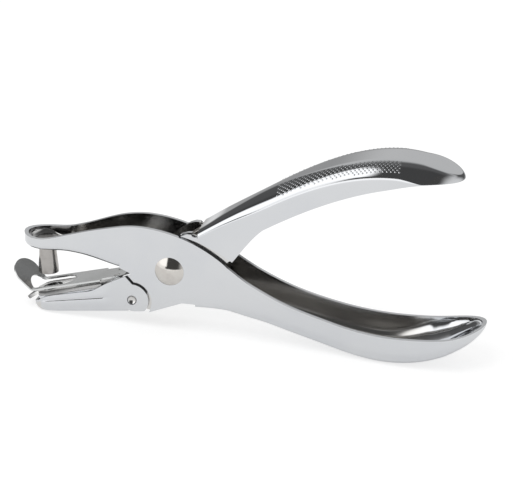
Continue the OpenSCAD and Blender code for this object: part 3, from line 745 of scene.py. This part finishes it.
# Grip dots: small round bumps that the die presses up in staggered rows over the upper handle's shoulders, so
# that the palm doesn't slip. They are plated with the handle and stand about a tenth of a millimetre proud.
DOT_PITCH = 1.15
DOT_ROW = 0.64
DOT_RADIUS = 0.3
DOT_HEIGHT = 0.11
DOT_SINK = 0.03
DOT_FIRST = 31.5
DOT_LAST = 67.0
ROWS_EACH_SIDE = 24
NEAR_MARGIN = 1.0
FAR_MARGIN = 1.5
BAND_SHARE = 0.56


def handle_surface(x, across):
    """Point and outward way on the upper handle, at a distance across the sheet from its middle line."""
    flat, width, height = crown_section(x)
    side = copysign(1, across)
    turn = max(0.0, abs(across) - flat) * 2 / (width + height)
    y = abs(across) if turn == 0 else flat + width * sin(turn)
    slope = atan2(crown(x + 0.1) - crown(x - 0.1), 0.2)
    rise, lean = cos(turn) / height, sin(turn) / width
    out = Vector((-sin(slope) * rise, side * lean, cos(slope) * rise))
    return Vector((x, side * y, crown(x) - height * (1 - cos(turn)))), out.normalized()


dot_places, dot_ways = [], []
for row in range(-ROWS_EACH_SIDE, ROWS_EACH_SIDE + 1):
    across = row * DOT_ROW
    for column in range(int((DOT_LAST - DOT_FIRST) / DOT_PITCH) + 1):
        x = DOT_FIRST + (column + 0.5 * (row % 2)) * DOT_PITCH
        flat, width, height = crown_section(x)
        inner_edge = flat + (NEAR_MARGIN if across < 0 else FAR_MARGIN)
        outer_edge = flat + (width + height) * BAND_SHARE
        if inner_edge < abs(across) < outer_edge and x < DOT_LAST:
            place, way = handle_surface(x, across)
            dot_places.append(STAND @ (place - way * DOT_SINK))
            dot_ways.append(STAND.to_3x3().normalized() @ way)


def new_places(name, places, faces=()):
    """An object of plain points and faces, or of points alone for a tree to grow on."""
    mesh = bpy.data.meshes.new(name + "_places")
    mesh.from_pydata(places, [], faces)
    return new_object(name, mesh)


def new_tree(name, sizes):
    """A geometry tree with a mesh in, a mesh out and named sizes: its start and what it is given."""
    tree = bpy.data.node_groups.new(name, "GeometryNodeTree")
    tree.interface.new_socket("Geometry", in_out="INPUT", socket_type="NodeSocketGeometry")
    for size in sizes:
        tree.interface.new_socket(size, in_out="INPUT", socket_type="NodeSocketFloat")
    tree.interface.new_socket("Geometry", in_out="OUTPUT", socket_type="NodeSocketGeometry")
    given = tree.nodes.new("NodeGroupInput").outputs
    return Wire(tree), {key: Wire(tree, given[key]) for key in ["Geometry", *sizes]}


def grow(piece, made, material, sizes):
    """Realizes the instances with their material, runs the tree on the piece and keeps the plain mesh."""
    tree, start = made.tree, Wire(made.tree)
    real = start.node("GeometryNodeRealizeInstances", {}, {"Geometry": made})
    painted = start.node("GeometryNodeSetMaterial", {}, {"Geometry": real, "Material": material})
    start.node("NodeGroupOutput", {}, {0: painted})
    run = piece.modifiers.new("grown", "NODES")
    run.node_group = tree
    for item in tree.interface.items_tree:
        if item.name in sizes:
            run[item.identifier] = sizes[item.name]
    done = bpy.data.meshes.new_from_object(piece.evaluated_get(bpy.context.evaluated_depsgraph_get()))
    piece.modifiers.remove(run)
    piece.data = done
    done.shade_smooth()
    return piece


grip_dots = new_places("grip_dots", dot_places)
lean = grip_dots.data.attributes.new("lean", "FLOAT_VECTOR", "POINT")
lean.data.foreach_set("vector", [c for way in dot_ways for c in way])
start, given = new_tree("dots_on_shoulders", ["Dot Radius", "Dot Height"])
ball = start.node("GeometryNodeMeshUVSphere", {}, {"Segments": 10, "Rings": 6})
size = start.node("ShaderNodeCombineXYZ", {}, {
    "X": given["Dot Radius"], "Y": given["Dot Radius"], "Z": given["Dot Height"]})
lean = start.node("GeometryNodeInputNamedAttribute", {"data_type": "FLOAT_VECTOR"}, {"Name": "lean"})
turn = start.node("FunctionNodeAlignRotationToVector", {"axis": "Z"}, {"Vector": lean})
dots = start.node("GeometryNodeInstanceOnPoints", {}, {
    "Points": given["Geometry"], "Instance": ball, "Rotation": turn, "Scale": size})
grow(grip_dots, dots, chrome, {"Dot Radius": DOT_RADIUS / 1000, "Dot Height": DOT_HEIGHT / 1000})
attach(grip_dots, "inner")

# Die plate: a strip of hardened steel on the lower jaw's web, with the round cutting hole. Its front end is
# drawn out into a pointed lip and bent down, and two rivets hold its rear end.
DIE_T = 1.0
DIE_W = 9.6
DIE_HOLE_R = 3.15
PLATE_END = -14.5
NECK_BACK = -21.8
TAIL_W = 7.7
OVERLAP = 0.05
LIP_ROOT = 2.6
LIP_POINT = 0.5
LIP_ANGLE = radians(26)
LIP_LEN = 4.5
LIP_RADIUS = 0.6
die_front = JAW_FRONT - 0.1


def bent_strip(point, depth, bend_at, radius, angle, top):
    """A point of a strip whose front, forward of bend_at, is bent through angle: up if positive."""
    e = bend_at - point[0]
    if e <= 0:
        return Vector((point[0], point[1], top - depth))
    turn = copysign(1, angle)
    a = min(e / radius, abs(angle))
    rest = max(0.0, e - radius * abs(angle))
    x = bend_at - radius * sin(a) - rest * cos(a)
    z = turn * (radius * (1 - cos(a)) + rest * sin(a))
    return Vector((x + depth * -turn * sin(a), point[1], top + z - depth * cos(a)))


def cross_cuts(bend_at, radius, angle, half, steps=8):
    """Cuts across a strip along its bend, so that it bends round."""
    return [((x, -half), (x, half)) for x in
            (bend_at - radius * abs(angle) * i / steps for i in range(steps + 1))]


def oblong(front, back, half):
    return [(front, -half), (back, -half), (back, half), (front, half)]


def bend_lip(p, d):
    return IN_JAW @ bent_strip(p, d, die_front, LIP_RADIUS, -LIP_ANGLE, JAW_TOP + DIE_T)


die_body = round_front(die_front, NECK_BACK, DIE_W, JAW_CORNER)
die_tail = oblong(NECK_BACK - OVERLAP, PLATE_END, TAIL_W / 2)
die_lip = [(die_front + 0.2, -LIP_ROOT), (die_front + 0.2, LIP_ROOT),
           (die_front - LIP_LEN, LIP_POINT), (die_front - LIP_LEN, -LIP_POINT)]
shell = plate(bmesh.new(), [die_body, die_tail, die_lip], [circle((DIE_X, 0), DIE_HOLE_R, 56)] + rivet_holes,
              bend_lip, DIE_T, cross_cuts(die_front, LIP_RADIUS, LIP_ANGLE, 2.2, 4))


def die_painted_shade(x, y, z):
    """Painted shade: the steel keeps its plain colour along the slot, is painted black on its top under the
    stripper's arms, dark on the lip, and half dark elsewhere beside the slot.
    """
    p = IN_JAW.inverted() @ Vector((x, y, z))
    if p.x < die_front - 0.15:
        return 0.85
    if abs(p.y) > 3.7:
        return 1.0 if p.z > JAW_TOP + DIE_T - 0.12 and p.x < -26 else 0.5
    return 0.0


# Its last colour, near black, is painted shade: in the gap under the stripper's arms, on the lip and along
# the sides.
ground_steel = new_metal("ground_die_steel", colour=(0.95, 0.95, 0.94, 1), dull=(0.88, 0.88, 0.87, 1),
                         deep_shade=(0.1, 0.1, 0.1, 1), cloud=(190.0, 3.0), limits=(0.4, 0.75),
                         grain=(4200.0, 3.0, (1.0, 0.07, 1.0)), relief=0.1, roughness=(0.1, 0, 0.1, 0.5))
die_plate = make_piece("die_plate_strip", shell, ground_steel, 0.1, shade_depth_at=die_painted_shade)
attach(die_plate, "inner")
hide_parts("die_plate")

# Paper stop: a short spacer of the same steel behind the paper slot, clamped between the die plate and the
# stripper by the two rivets. The sheet's edge comes up against it.
STOP_T = 0.9
stop_front = DIE_X + 16
shell = plate(bmesh.new(), [oblong(stop_front, PLATE_END, TAIL_W / 2)], rivet_holes,
              lambda p, d: in_jaw(p, JAW_TOP + DIE_T + STOP_T - d), STOP_T)
# The whole stop is painted half dark: painted shade in the gap between die plate and stripper.
paper_stop = make_piece("paper_stop_strip", shell, ground_steel, 0.08, shade_depth_at=lambda x, y, z: 0.5)
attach(paper_stop, "inner")
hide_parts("paper_stop")

# Stripper: a strip of satin spring steel over the paper slot, with a long round-ended slot that the punch
# passes through. Its front is turned up into a tab that leads the paper in. It pulls the sheet off the punch.
STRIPPER_T = 0.5
TAB_REACH = -42.3
TAB_ANGLE = radians(58)
TAB_SKEW = radians(9)
TAB_RADIUS = 0.8
TAB_LEN = 9.2
TAB_ROUND = TAB_LEN / 2
TAB_HALF = 5.7
STRIPPER_W = 10.0
TAIL_CORNER = 2
SLOT_R = 3.7
SLOT_BACK = -34.2
SLOT_FRONT = TAB_REACH - 2.8 + SLOT_R
tab_bend = TAB_RADIUS * tan(TAB_ANGLE / 2)
tab_slack = 2 * tab_bend - TAB_RADIUS * TAB_ANGLE


def on_tab(x, y):
    """Flat place on the strip of a point given from the middle of the tab's bend line."""
    p = turned((x, y), -TAB_SKEW)
    return (TAB_REACH + p[0], p[1])


def bend_tab(p, d):
    """Bends the flat strip up along the skewed bend line."""
    x, y = turned((p[0] - TAB_REACH, p[1]), TAB_SKEW)
    bent = Matrix.Rotation(-TAB_SKEW, 4, "Z") @ bent_strip((x, y), d, tab_bend, TAB_RADIUS, TAB_ANGLE, 0)
    return IN_JAW @ (bent + Vector((TAB_REACH, 0, 0)))


tab_arc = [(TAB_ROUND - TAB_LEN + tab_slack - TAB_ROUND * sin(a), TAB_HALF * cos(a))
           for a in quarter(16)]
tab_root = STRIPPER_W / 2 / cos(TAB_SKEW)
strip_plan = ([(NECK_BACK, STRIPPER_W / 2), (NECK_BACK, -STRIPPER_W / 2), on_tab(0, -tab_root)]
              + [on_tab(x, -y) for x, y in tab_arc] + [on_tab(x, y) for x, y in tab_arc[-2::-1]]
              + [on_tab(0, tab_root)])
tail_plan = ([(NECK_BACK - OVERLAP, -TAIL_W / 2)]
             + arc_points((PLATE_END - TAIL_CORNER, -TAIL_W / 2 + TAIL_CORNER), TAIL_CORNER, 270, 360, 10)
             + arc_points((PLATE_END - TAIL_CORNER, TAIL_W / 2 - TAIL_CORNER), TAIL_CORNER, 0, 90, 10)
             + [(NECK_BACK - OVERLAP, TAIL_W / 2)])
slot = arc_points((SLOT_BACK, 0), SLOT_R, -90, 90, 28) + arc_points((SLOT_FRONT, 0), SLOT_R, 90, 270, 28)
tab_cuts = [(on_tab(*one), on_tab(*two)) for one, two in cross_cuts(tab_bend, TAB_RADIUS, TAB_ANGLE, 6.5)]
shell = plate(bmesh.new(), [strip_plan, tail_plan], [slot] + rivet_holes, bend_tab, STRIPPER_T, tab_cuts)
strip_steel = new_metal("satin_spring_strip", colour=(0.64, 0.65, 0.65, 1), dull=(0.57, 0.58, 0.575, 1),
                        cloud=(130.0, 3.0), limits=(0.4, 0.75), grain=(5200.0, 3.0, (0.06, 1.0, 1.0)),
                        relief=0.08, roughness=(0.16, 0, 0.1, 0))
stripper = make_piece("stripper_strip", shell, strip_steel, 0.1)
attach(stripper, "inner")
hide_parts("stripper_plate")

# Jaw rivets: two soft steel rivets set side by side through stripper, paper stop, die plate and jaw, with
# both ends hammered flush and left faintly domed.
RIVET_R = 0.9
RIVET_LEN = 3.6
rivet_blank = [(0, -RIVET_LEN), (0.6, -RIVET_LEN), (RIVET_R, -RIVET_LEN + 0.12), (RIVET_R, -0.1),
               (0.75, 0.02), (0.4, 0.07), (0, 0.09)]
bright_steel = new_metal("bright_steel", colour=(0.58, 0.575, 0.56, 1), dull=(0.44, 0.43, 0.42, 1),
                         cloud=(300.0,), limits=(0.4, 0.7), grain=(1400.0, 3.0), relief=0.15,
                         roughness=(0.18, 0, 0.15, 0))
shell = turn_on_axis(rivet_blank, 28)
shank = make_piece("jaw_rivet_shank", shell, bright_steel, 0.0, IN_JAW)
shank.data.transform(Matrix.Translation(-(STAND @ Vector((0, 0, 0)))))
jaw_rivets = new_places("jaw_rivets_set", [STAND @ in_jaw(p, 0) for p in jaw_rivet_at])
start, given = new_tree("rivets_in_holes", ["Thickness"])
size = start.node("ShaderNodeCombineXYZ", {}, {k: given["Thickness"] for k in "XYZ"})
blank = start.node("GeometryNodeObjectInfo", {}, {"Object": shank}, "Geometry")
rivets = start.node("GeometryNodeInstanceOnPoints", {}, {
    "Points": given["Geometry"], "Instance": blank, "Scale": size})
grow(jaw_rivets, rivets, bright_steel, {"Thickness": 1.0})
bpy.data.objects.remove(shank)
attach(jaw_rivets, "inner")
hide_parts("jaw_rivets")

# Chip tray: a thin pressed trough, chrome plated, that closes the lower jaw from below and swings down to
# empty. Its round rear ends lie outside the jaw, and a dimple punched in each is the hinge pin.
TRAY_T = 0.75
TRAY_HALF = 6.1
TRAY_LEN = 30.6
TRAY_DROP = 3.5
TRAY_CORNER = 4.5
TRAY_END_R = 4.9
TRAY_LOBE = -1.6
TRAY_SHOULDER = (-1.3, 7.3)
KEEL = 2.0
SIDE_BEND = 0.7
CREASE_LEAN = 0.16
CREASE_GROOVE = 0.1
DIMPLE_R = 1.45
DIMPLE_DEPTH = 0.85
DIMPLE_ROWS = 6
IN_TRAY = Matrix.Translation((TRAY_HINGE[0], 0, TRAY_HINGE[1])) @ Matrix.Rotation(-TRAY_PITCH, 4, "Y")
rim_stops = [(-30.6, -1.3), (-26.1, 1.0), (-17.0, 2.1), (-12.0, 2.8), (-7.7, 4.8), (-3.5, 6.55),
             TRAY_SHOULDER]


def tray_rim(x):
    """Height of the tray's rim: low round the nose, rising to the shoulders in a smooth curve."""
    i = max(0, min(len(rim_stops) - 2, sum(p[0] <= x for p in rim_stops) - 1))
    (x0, z0), (x1, z1) = rim_stops[i], rim_stops[i + 1]
    before, after = rim_stops[max(i - 1, 0)], rim_stops[min(i + 2, len(rim_stops) - 1)]
    m0 = (z1 - before[1]) / (x1 - before[0]) * (x1 - x0) / 3
    m1 = (after[1] - z0) / (after[0] - x0) * (x1 - x0) / 3
    return cubic(z0, z0 + m0, z1 - m1, z1, min(1.0, max(0.0, share(x, x0, x1))))


def tray_crease(x):
    """Height of the shallow crease that is pressed along the sides under the rim."""
    return -0.2 + 1.12 * share(x, -27.0, -7.45)


TRAY_WALL_ROWS = 7
TRAY_BEND_ROWS = 8
TRAY_RING = TRAY_WALL_ROWS + TRAY_BEND_ROWS


def tray_skin(inset):
    """Rim, wall, bend and edge of the floor round the tray, station by station from near to far rear end."""
    corner = TRAY_CORNER
    sides = spread((TRAY_LOBE, -TRAY_LEN + corner, 44))[:-1]
    run = [((x, -TRAY_HALF + inset), (0, -1)) for x in sides]
    for angle in spread((270, 180, 14)):
        out = arc_points((0, 0), 1, angle, angle, 1)[0]
        run.append(((-TRAY_LEN + corner + (corner - inset) * out[0],
                     -TRAY_HALF + corner + (corner - inset) * out[1]), out))
    run.append(((-TRAY_LEN + inset, 0), (-1, 0)))
    run += [((p[0], -p[1]), (out[0], -out[1])) for p, out in run[-2::-1]]
    skin = []
    for p, out in run:
        x = p[0] + inset * out[0]
        bend = SIDE_BEND + (KEEL - SIDE_BEND) * ramp(-x, TRAY_LEN - 9, TRAY_LEN)
        bend = max(bend - inset, 0.12)
        floor = -TRAY_DROP + inset
        top, low = tray_rim(x), floor + bend
        room = top - low
        crease = min(max(tray_crease(x), low + 0.3 * room), top - 0.3 * room)
        gap = min(0.2, room / 8)
        pressed = 0 if inset else ramp(x, -5.5, -9) * ramp(x, -29.5, -27)
        rows = [(pressed * (max(0, h - crease) * CREASE_LEAN + (CREASE_GROOVE if h == crease else 0)), h)
                for h in (top, 0.4 * top + 0.6 * (crease + gap), crease + gap, crease, crease - gap,
                          0.5 * (crease - gap + low), low)]
        rows += [(bend * (1 - cos(a)), floor + bend * (1 - sin(a))) for a in quarter(TRAY_BEND_ROWS)[1:]]
        skin += [(p[0] - out[0] * step, p[1] - out[1] * step, h) for step, h in rows]
    return skin


outer, inner = tray_skin(0), tray_skin(TRAY_T)
count = len(outer) // TRAY_RING
faces = grid_faces(count, TRAY_RING)
faces.append(tuple(i * TRAY_RING + TRAY_RING - 1 for i in range(count)))
rear_end = [(-0.7, -3.3), (0.3, -TRAY_DROP)]
rear_end += arc_points((0, 0), TRAY_END_R, -45.58, 83, 32) + [TRAY_SHOULDER]
dimple = circle((0, 0), DIMPLE_R, 32)
for side, station in ((-1, 0), (1, count - 1)):
    wall = [station * TRAY_RING + k for k in range(TRAY_WALL_ROWS)]
    numbers = join_cheek(outer, inner, faces, wall + rear_end, [dimple], side * TRAY_HALF, TRAY_T)
    ring = [numbers[len(wall + rear_end) + k] for k in range(len(dimple))]
    for a in quarter(DIMPLE_ROWS)[1:]:
        wide, sunk = cos(a), DIMPLE_DEPTH * sin(a) ** 1.3
        nearer = list(range(len(outer), len(outer) + len(dimple)))
        for p in dimple:
            outer.append((p[0] * wide, side * (TRAY_HALF - sunk), p[1] * wide))
            inner.append((p[0] * wide * 0.9, side * (TRAY_HALF - TRAY_T - sunk), p[1] * wide * 0.9))
        faces += [(ring[i - 1], ring[i], nearer[i], nearer[i - 1]) for i in range(len(dimple))]
        ring = nearer
shell = fold_sheet(bmesh.new(), outer, inner, faces)


def tray_shade_depth(x, y, z):
    """Painted shade, with the thinner plating of the hollow: inside the tray it is dark."""
    if min(TRAY_HALF - abs(y), z + TRAY_DROP, x + TRAY_LEN) < 0.4:
        return 0.0
    return 0.85 * ramp(tray_rim(x) - z, 0.1, 1.0)


chip_tray = make_piece("chip_tray_shell", shell, chrome, 0.14, IN_TRAY, tray_shade_depth)
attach(chip_tray, "tray")
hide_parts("chip_tray")

# Handle spring: a torsion spring of oiled steel wire, wound round the pivot between the inner cheeks. One
# leg bears on the lower handle and the other under the crown, and it pushes the handles apart.
WIRE_R = 0.5
WIRE_GAP = 0.3
WIRE_SIDES = 12
COIL_R = 4.32
COIL_HALF = INNER_IN - WIRE_R - WIRE_GAP
COIL_TURNS = 4
COIL_STEPS = 40 * COIL_TURNS
LEG_REACH = 18.0
LEG_STEPS = 8


def spring_leg(line, side):
    """The end of the leg that bears on a sheet along a line, and the angle at which it leaves the coil."""
    height = line(LEG_REACH) - side * SHEET * slant(line, LEG_REACH) - side * WIRE_R - side * WIRE_GAP
    turn = acos(COIL_R / hypot(LEG_REACH, height))
    return Vector((LEG_REACH, side * COIL_HALF, height)), atan2(height, LEG_REACH) + side * turn


first_end, lower_touch = spring_leg(lower_web, -1)
last_end, upper_touch = spring_leg(crown, 1)
sweep = 2 * pi * COIL_TURNS + (lower_touch - upper_touch) % (2 * pi)
coil = []
for i in range(COIL_STEPS + 1):
    s = i / COIL_STEPS
    a = lower_touch - sweep * s
    coil.append(Vector((COIL_R * cos(a), COIL_HALF * (2 * s - 1), COIL_R * sin(a))))
path = [first_end.lerp(coil[0], k / LEG_STEPS) for k in range(LEG_STEPS)] + coil
path += [coil[-1].lerp(last_end, k / LEG_STEPS) for k in range(1, LEG_STEPS + 1)]
shell = bmesh.new()
rings = []
for i, p in enumerate(path):
    ahead = (path[min(i + 1, len(path) - 1)] - path[max(i - 1, 0)]).normalized()
    u = ahead.cross(Vector((0, 1, 0))).normalized()
    v = u.cross(ahead)
    rings.append([shell.verts.new(p + WIRE_R * (cos(a) * u + sin(a) * v))
                  for a in (2 * pi * k / WIRE_SIDES for k in range(WIRE_SIDES))])
bridge(shell, rings)
shell.faces.new(rings[0])
shell.faces.new(rings[-1])
spring_wire = new_metal("oiled_spring_wire", colour=(0.34, 0.33, 0.315, 1), dull=(0.2, 0.19, 0.18, 1),
                        cloud=(420.0, 3.0), limits=(0.35, 0.75), grain=(3000.0,), relief=0.08,
                        roughness=(0.15, 0.2, 0, 0))
spring = make_piece("handle_spring_wire", shell, spring_wire, 0.0)
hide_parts("handle_spring")
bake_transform(spring)

# Pivot sleeve: a short piece of turned steel tube on the rivet's shank. It keeps the inner cheeks apart and
# the spring winds round it.
ACROSS = Matrix.Rotation(pi / 2, 4, "X")
SLEEVE_IN = 2.52
SLEEVE_OUT = 3.22
sleeve_half = INNER_IN - 0.1
sleeve_profile = oblong(SLEEVE_IN, SLEEVE_OUT, sleeve_half)
shell = turn_on_axis(sleeve_profile + sleeve_profile[:1], 56)
bmesh.ops.remove_doubles(shell, verts=shell.verts, dist=1e-5)
sleeve = make_piece("pivot_sleeve_tube", shell, bright_steel, 0.08, ACROSS)
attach(sleeve, "outer")
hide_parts("pivot_sleeve")

# Pivot rivet: a nickel-plated steel rivet through all four cheeks, formed into a smooth low dome on both
# sides. It is closed tightly on the outer cheeks, and the inner ones turn on it.
SHANK_R = 2.5
HEAD_R = 4.3
HEAD_H = 1.6
HEAD_STEPS = 24
dome_r = (HEAD_R ** 2 + HEAD_H ** 2) / (2 * HEAD_H)
dome_reach = asin(HEAD_R / dome_r)
dome = [(dome_r * sin(a), CHEEK_HALF + HEAD_H - dome_r + dome_r * cos(a))
        for a in (dome_reach * (1 - i / HEAD_STEPS) for i in range(HEAD_STEPS))]
half_profile = [(SHANK_R, CHEEK_HALF)] + dome + [(0, CHEEK_HALF + HEAD_H)]
rivet_profile = [(r, -h) for r, h in reversed(half_profile)] + half_profile
nickel = new_metal("nickel_plate", colour=(0.57, 0.55, 0.52, 1), dull=(0.5, 0.475, 0.45, 1),
                   cloud=(320.0, 3.0), limits=(0.4, 0.75), grain=(1800.0,), relief=0.03,
                   roughness=(0.07, 0.09, 0, 0))
shell = turn_on_axis(rivet_profile, 96)
rivet = make_piece("pivot_rivet_formed", shell, nickel, 0.08, ACROSS)
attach(rivet, "outer")
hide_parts("pivot_rivet")

# Stage: a plain pale floor under soft studio light. Polished metal mirrors the room, so for mirrored rays
# alone the world has a bright window at the left, dark corners, a grey back and a bright far right, and the
# floor glows too, brighter in front and plain grey far behind: a painted reflection. All else gets plain even
# light, and the camera sees white.
FLOOR_REACH = 3
FLOOR_PAINT = (0.86, 0.86, 0.86, 1)
FLOOR_PAINT_LIGHT = (0.87, 0.87, 0.87, 1)
FLOOR_SEEN = (0.42, 0.42, 0.42, 1)
SEEN_GLOW = 0.7
MIRRORED_GLOW = 0.34
FRONT_GLOW = 0.45
BACK_GLOW = 0.45


def rays(start):
    """1 for what the camera sees, and 1 for what the metal mirrors."""
    return [start.node("ShaderNodeLightPath", output=f"Is {kind} Ray") for kind in ("Camera", "Glossy")]


floor_corners = [(*p, 0) for p in oblong(-FLOOR_REACH, FLOOR_REACH, FLOOR_REACH)]
floor = new_places("floor", floor_corners, [(0, 1, 2, 3)])
floor_paint, start, where = new_finish("pale_floor")
seen, mirrored = rays(start)
paint = noise(start, where, 6.0).mixed(FLOOR_PAINT, FLOOR_PAINT_LIGHT)
bare = start.node("ShaderNodeBsdfDiffuse", {}, {"Color": seen.mixed(paint, FLOOR_SEEN)})
across = start.node("ShaderNodeSeparateXYZ", {}, {0: where}, "Y")
# For mirrored rays alone the floor glows, more so far in front, and far behind it shows as a plain grey glow:
# a painted reflection.
far_front = mirrored * (1 - across.between(-0.4, -0.2))
glow = start.node("ShaderNodeEmission", {}, {
    "Strength": SEEN_GLOW * seen + MIRRORED_GLOW * mirrored + FRONT_GLOW * far_front})
table = start.node("ShaderNodeAddShader", {}, {0: bare, 1: glow})
dark = start.node("ShaderNodeEmission", {}, {"Strength": BACK_GLOW})
start.node("ShaderNodeOutputMaterial", {}, {"Surface": start.node("ShaderNodeMixShader", {}, {
    0: mirrored * across.between(0.2, 0.45), 1: table, 2: dark})})
floor.data.materials.append(floor_paint)

WINDOW_GLOW = 2.2
FAR_RIGHT_GLOW = 1.2
FRONT_DARK = 0.1
LIT_SIDE_GLOW = 1.7
CORNER_GLOW = 0.15
EVEN_LIGHT = 0.85
world = bpy.data.worlds.new("studio")
world.use_nodes = True
world.node_tree.nodes.clear()
scene.world = world
start = Wire(world.node_tree)
way = start.node("ShaderNodeTexCoord", output="Generated")
x, y, z = (start.node("ShaderNodeSeparateXYZ", {}, {0: way}, k) for k in "XYZ")
lit_side = (1 - x.between(-0.52, -0.42)) * (1 - z.between(0.4, 0.48))
window = x.between(-0.98, -0.9) * (1 - x.between(-0.44, -0.32)) * (1 - (y - 0.8 * x).between(0.25, 0.45))
window = window * z.between(0.12, 0.22) * (1 - z.between(0.78, 0.94))
far_right = x.between(0.55, 0.95)
front = FRONT_DARK + LIT_SIDE_GLOW * lit_side
left_corner = (1 - x.between(-0.55, -0.45)) * z.between(0.06, 0.16)
right_corner = x.between(0.18, 0.3) * (1 - z.between(0.45, 0.6))
back = (0.5 + 0.35 * z.between(0.1, 0.3)) * (1 - 0.8 * z.between(0.5, 0.85))
back = left_corner.sum("MAXIMUM", left_corner, right_corner).blend(back, CORNER_GLOW)
behind = y.between(-0.1, 0.25)
room = window.blend(far_right.blend(behind.blend(front, back), FAR_RIGHT_GLOW), WINDOW_GLOW)
below = 1 - z.between(-0.02, 0.0)
room = below.blend(room, 0.45 + 0.55 * (1 - behind))
seen, mirrored = rays(start)
level = seen.blend(mirrored.blend(EVEN_LIGHT, room), 1.0)
sky = start.node("ShaderNodeBackground", {}, {"Strength": level})
start.node("ShaderNodeOutputWorld", {}, {"Surface": sky})

lamp = bpy.data.lights.new("soft_key", "AREA")
lamp.shape = "DISK"
lamp.size = 0.7
lamp.energy = 3.0
key = new_object("soft_key", lamp)
key.location = (-0.35, -0.45, 0.9)
key.rotation_mode = "QUATERNION"
key.rotation_quaternion = (-key.location).to_track_quat("-Z", "Y")
key.visible_glossy = False

CAMERA_AZIMUTH = radians(12)
CAMERA_ELEVATION = radians(21)
CAMERA_REACH = 730.0
CAMERA_RIGHT = 23.751
CAMERA_UP = 3.364
right = Vector((cos(CAMERA_AZIMUTH), sin(CAMERA_AZIMUTH), 0))
ahead = Vector((-sin(CAMERA_AZIMUTH) * cos(CAMERA_ELEVATION),
                cos(CAMERA_AZIMUTH) * cos(CAMERA_ELEVATION), -sin(CAMERA_ELEVATION)))
upward = right.cross(ahead)
turn = Matrix((right, upward, -ahead)).transposed().to_4x4()
lens = bpy.data.cameras.new("camera")
lens.lens = 176.6
lens.sensor_width = 36.0
lens.clip_start = 0.05
camera = new_object("camera", lens)
spot = CAMERA_RIGHT * right + CAMERA_UP * upward - CAMERA_REACH * ahead
camera.matrix_world = Matrix.Translation(STAND @ spot) @ Matrix.Rotation(-stance, 4, "Y") @ turn
scene.camera = camera
scene.view_settings.view_transform = "Standard"
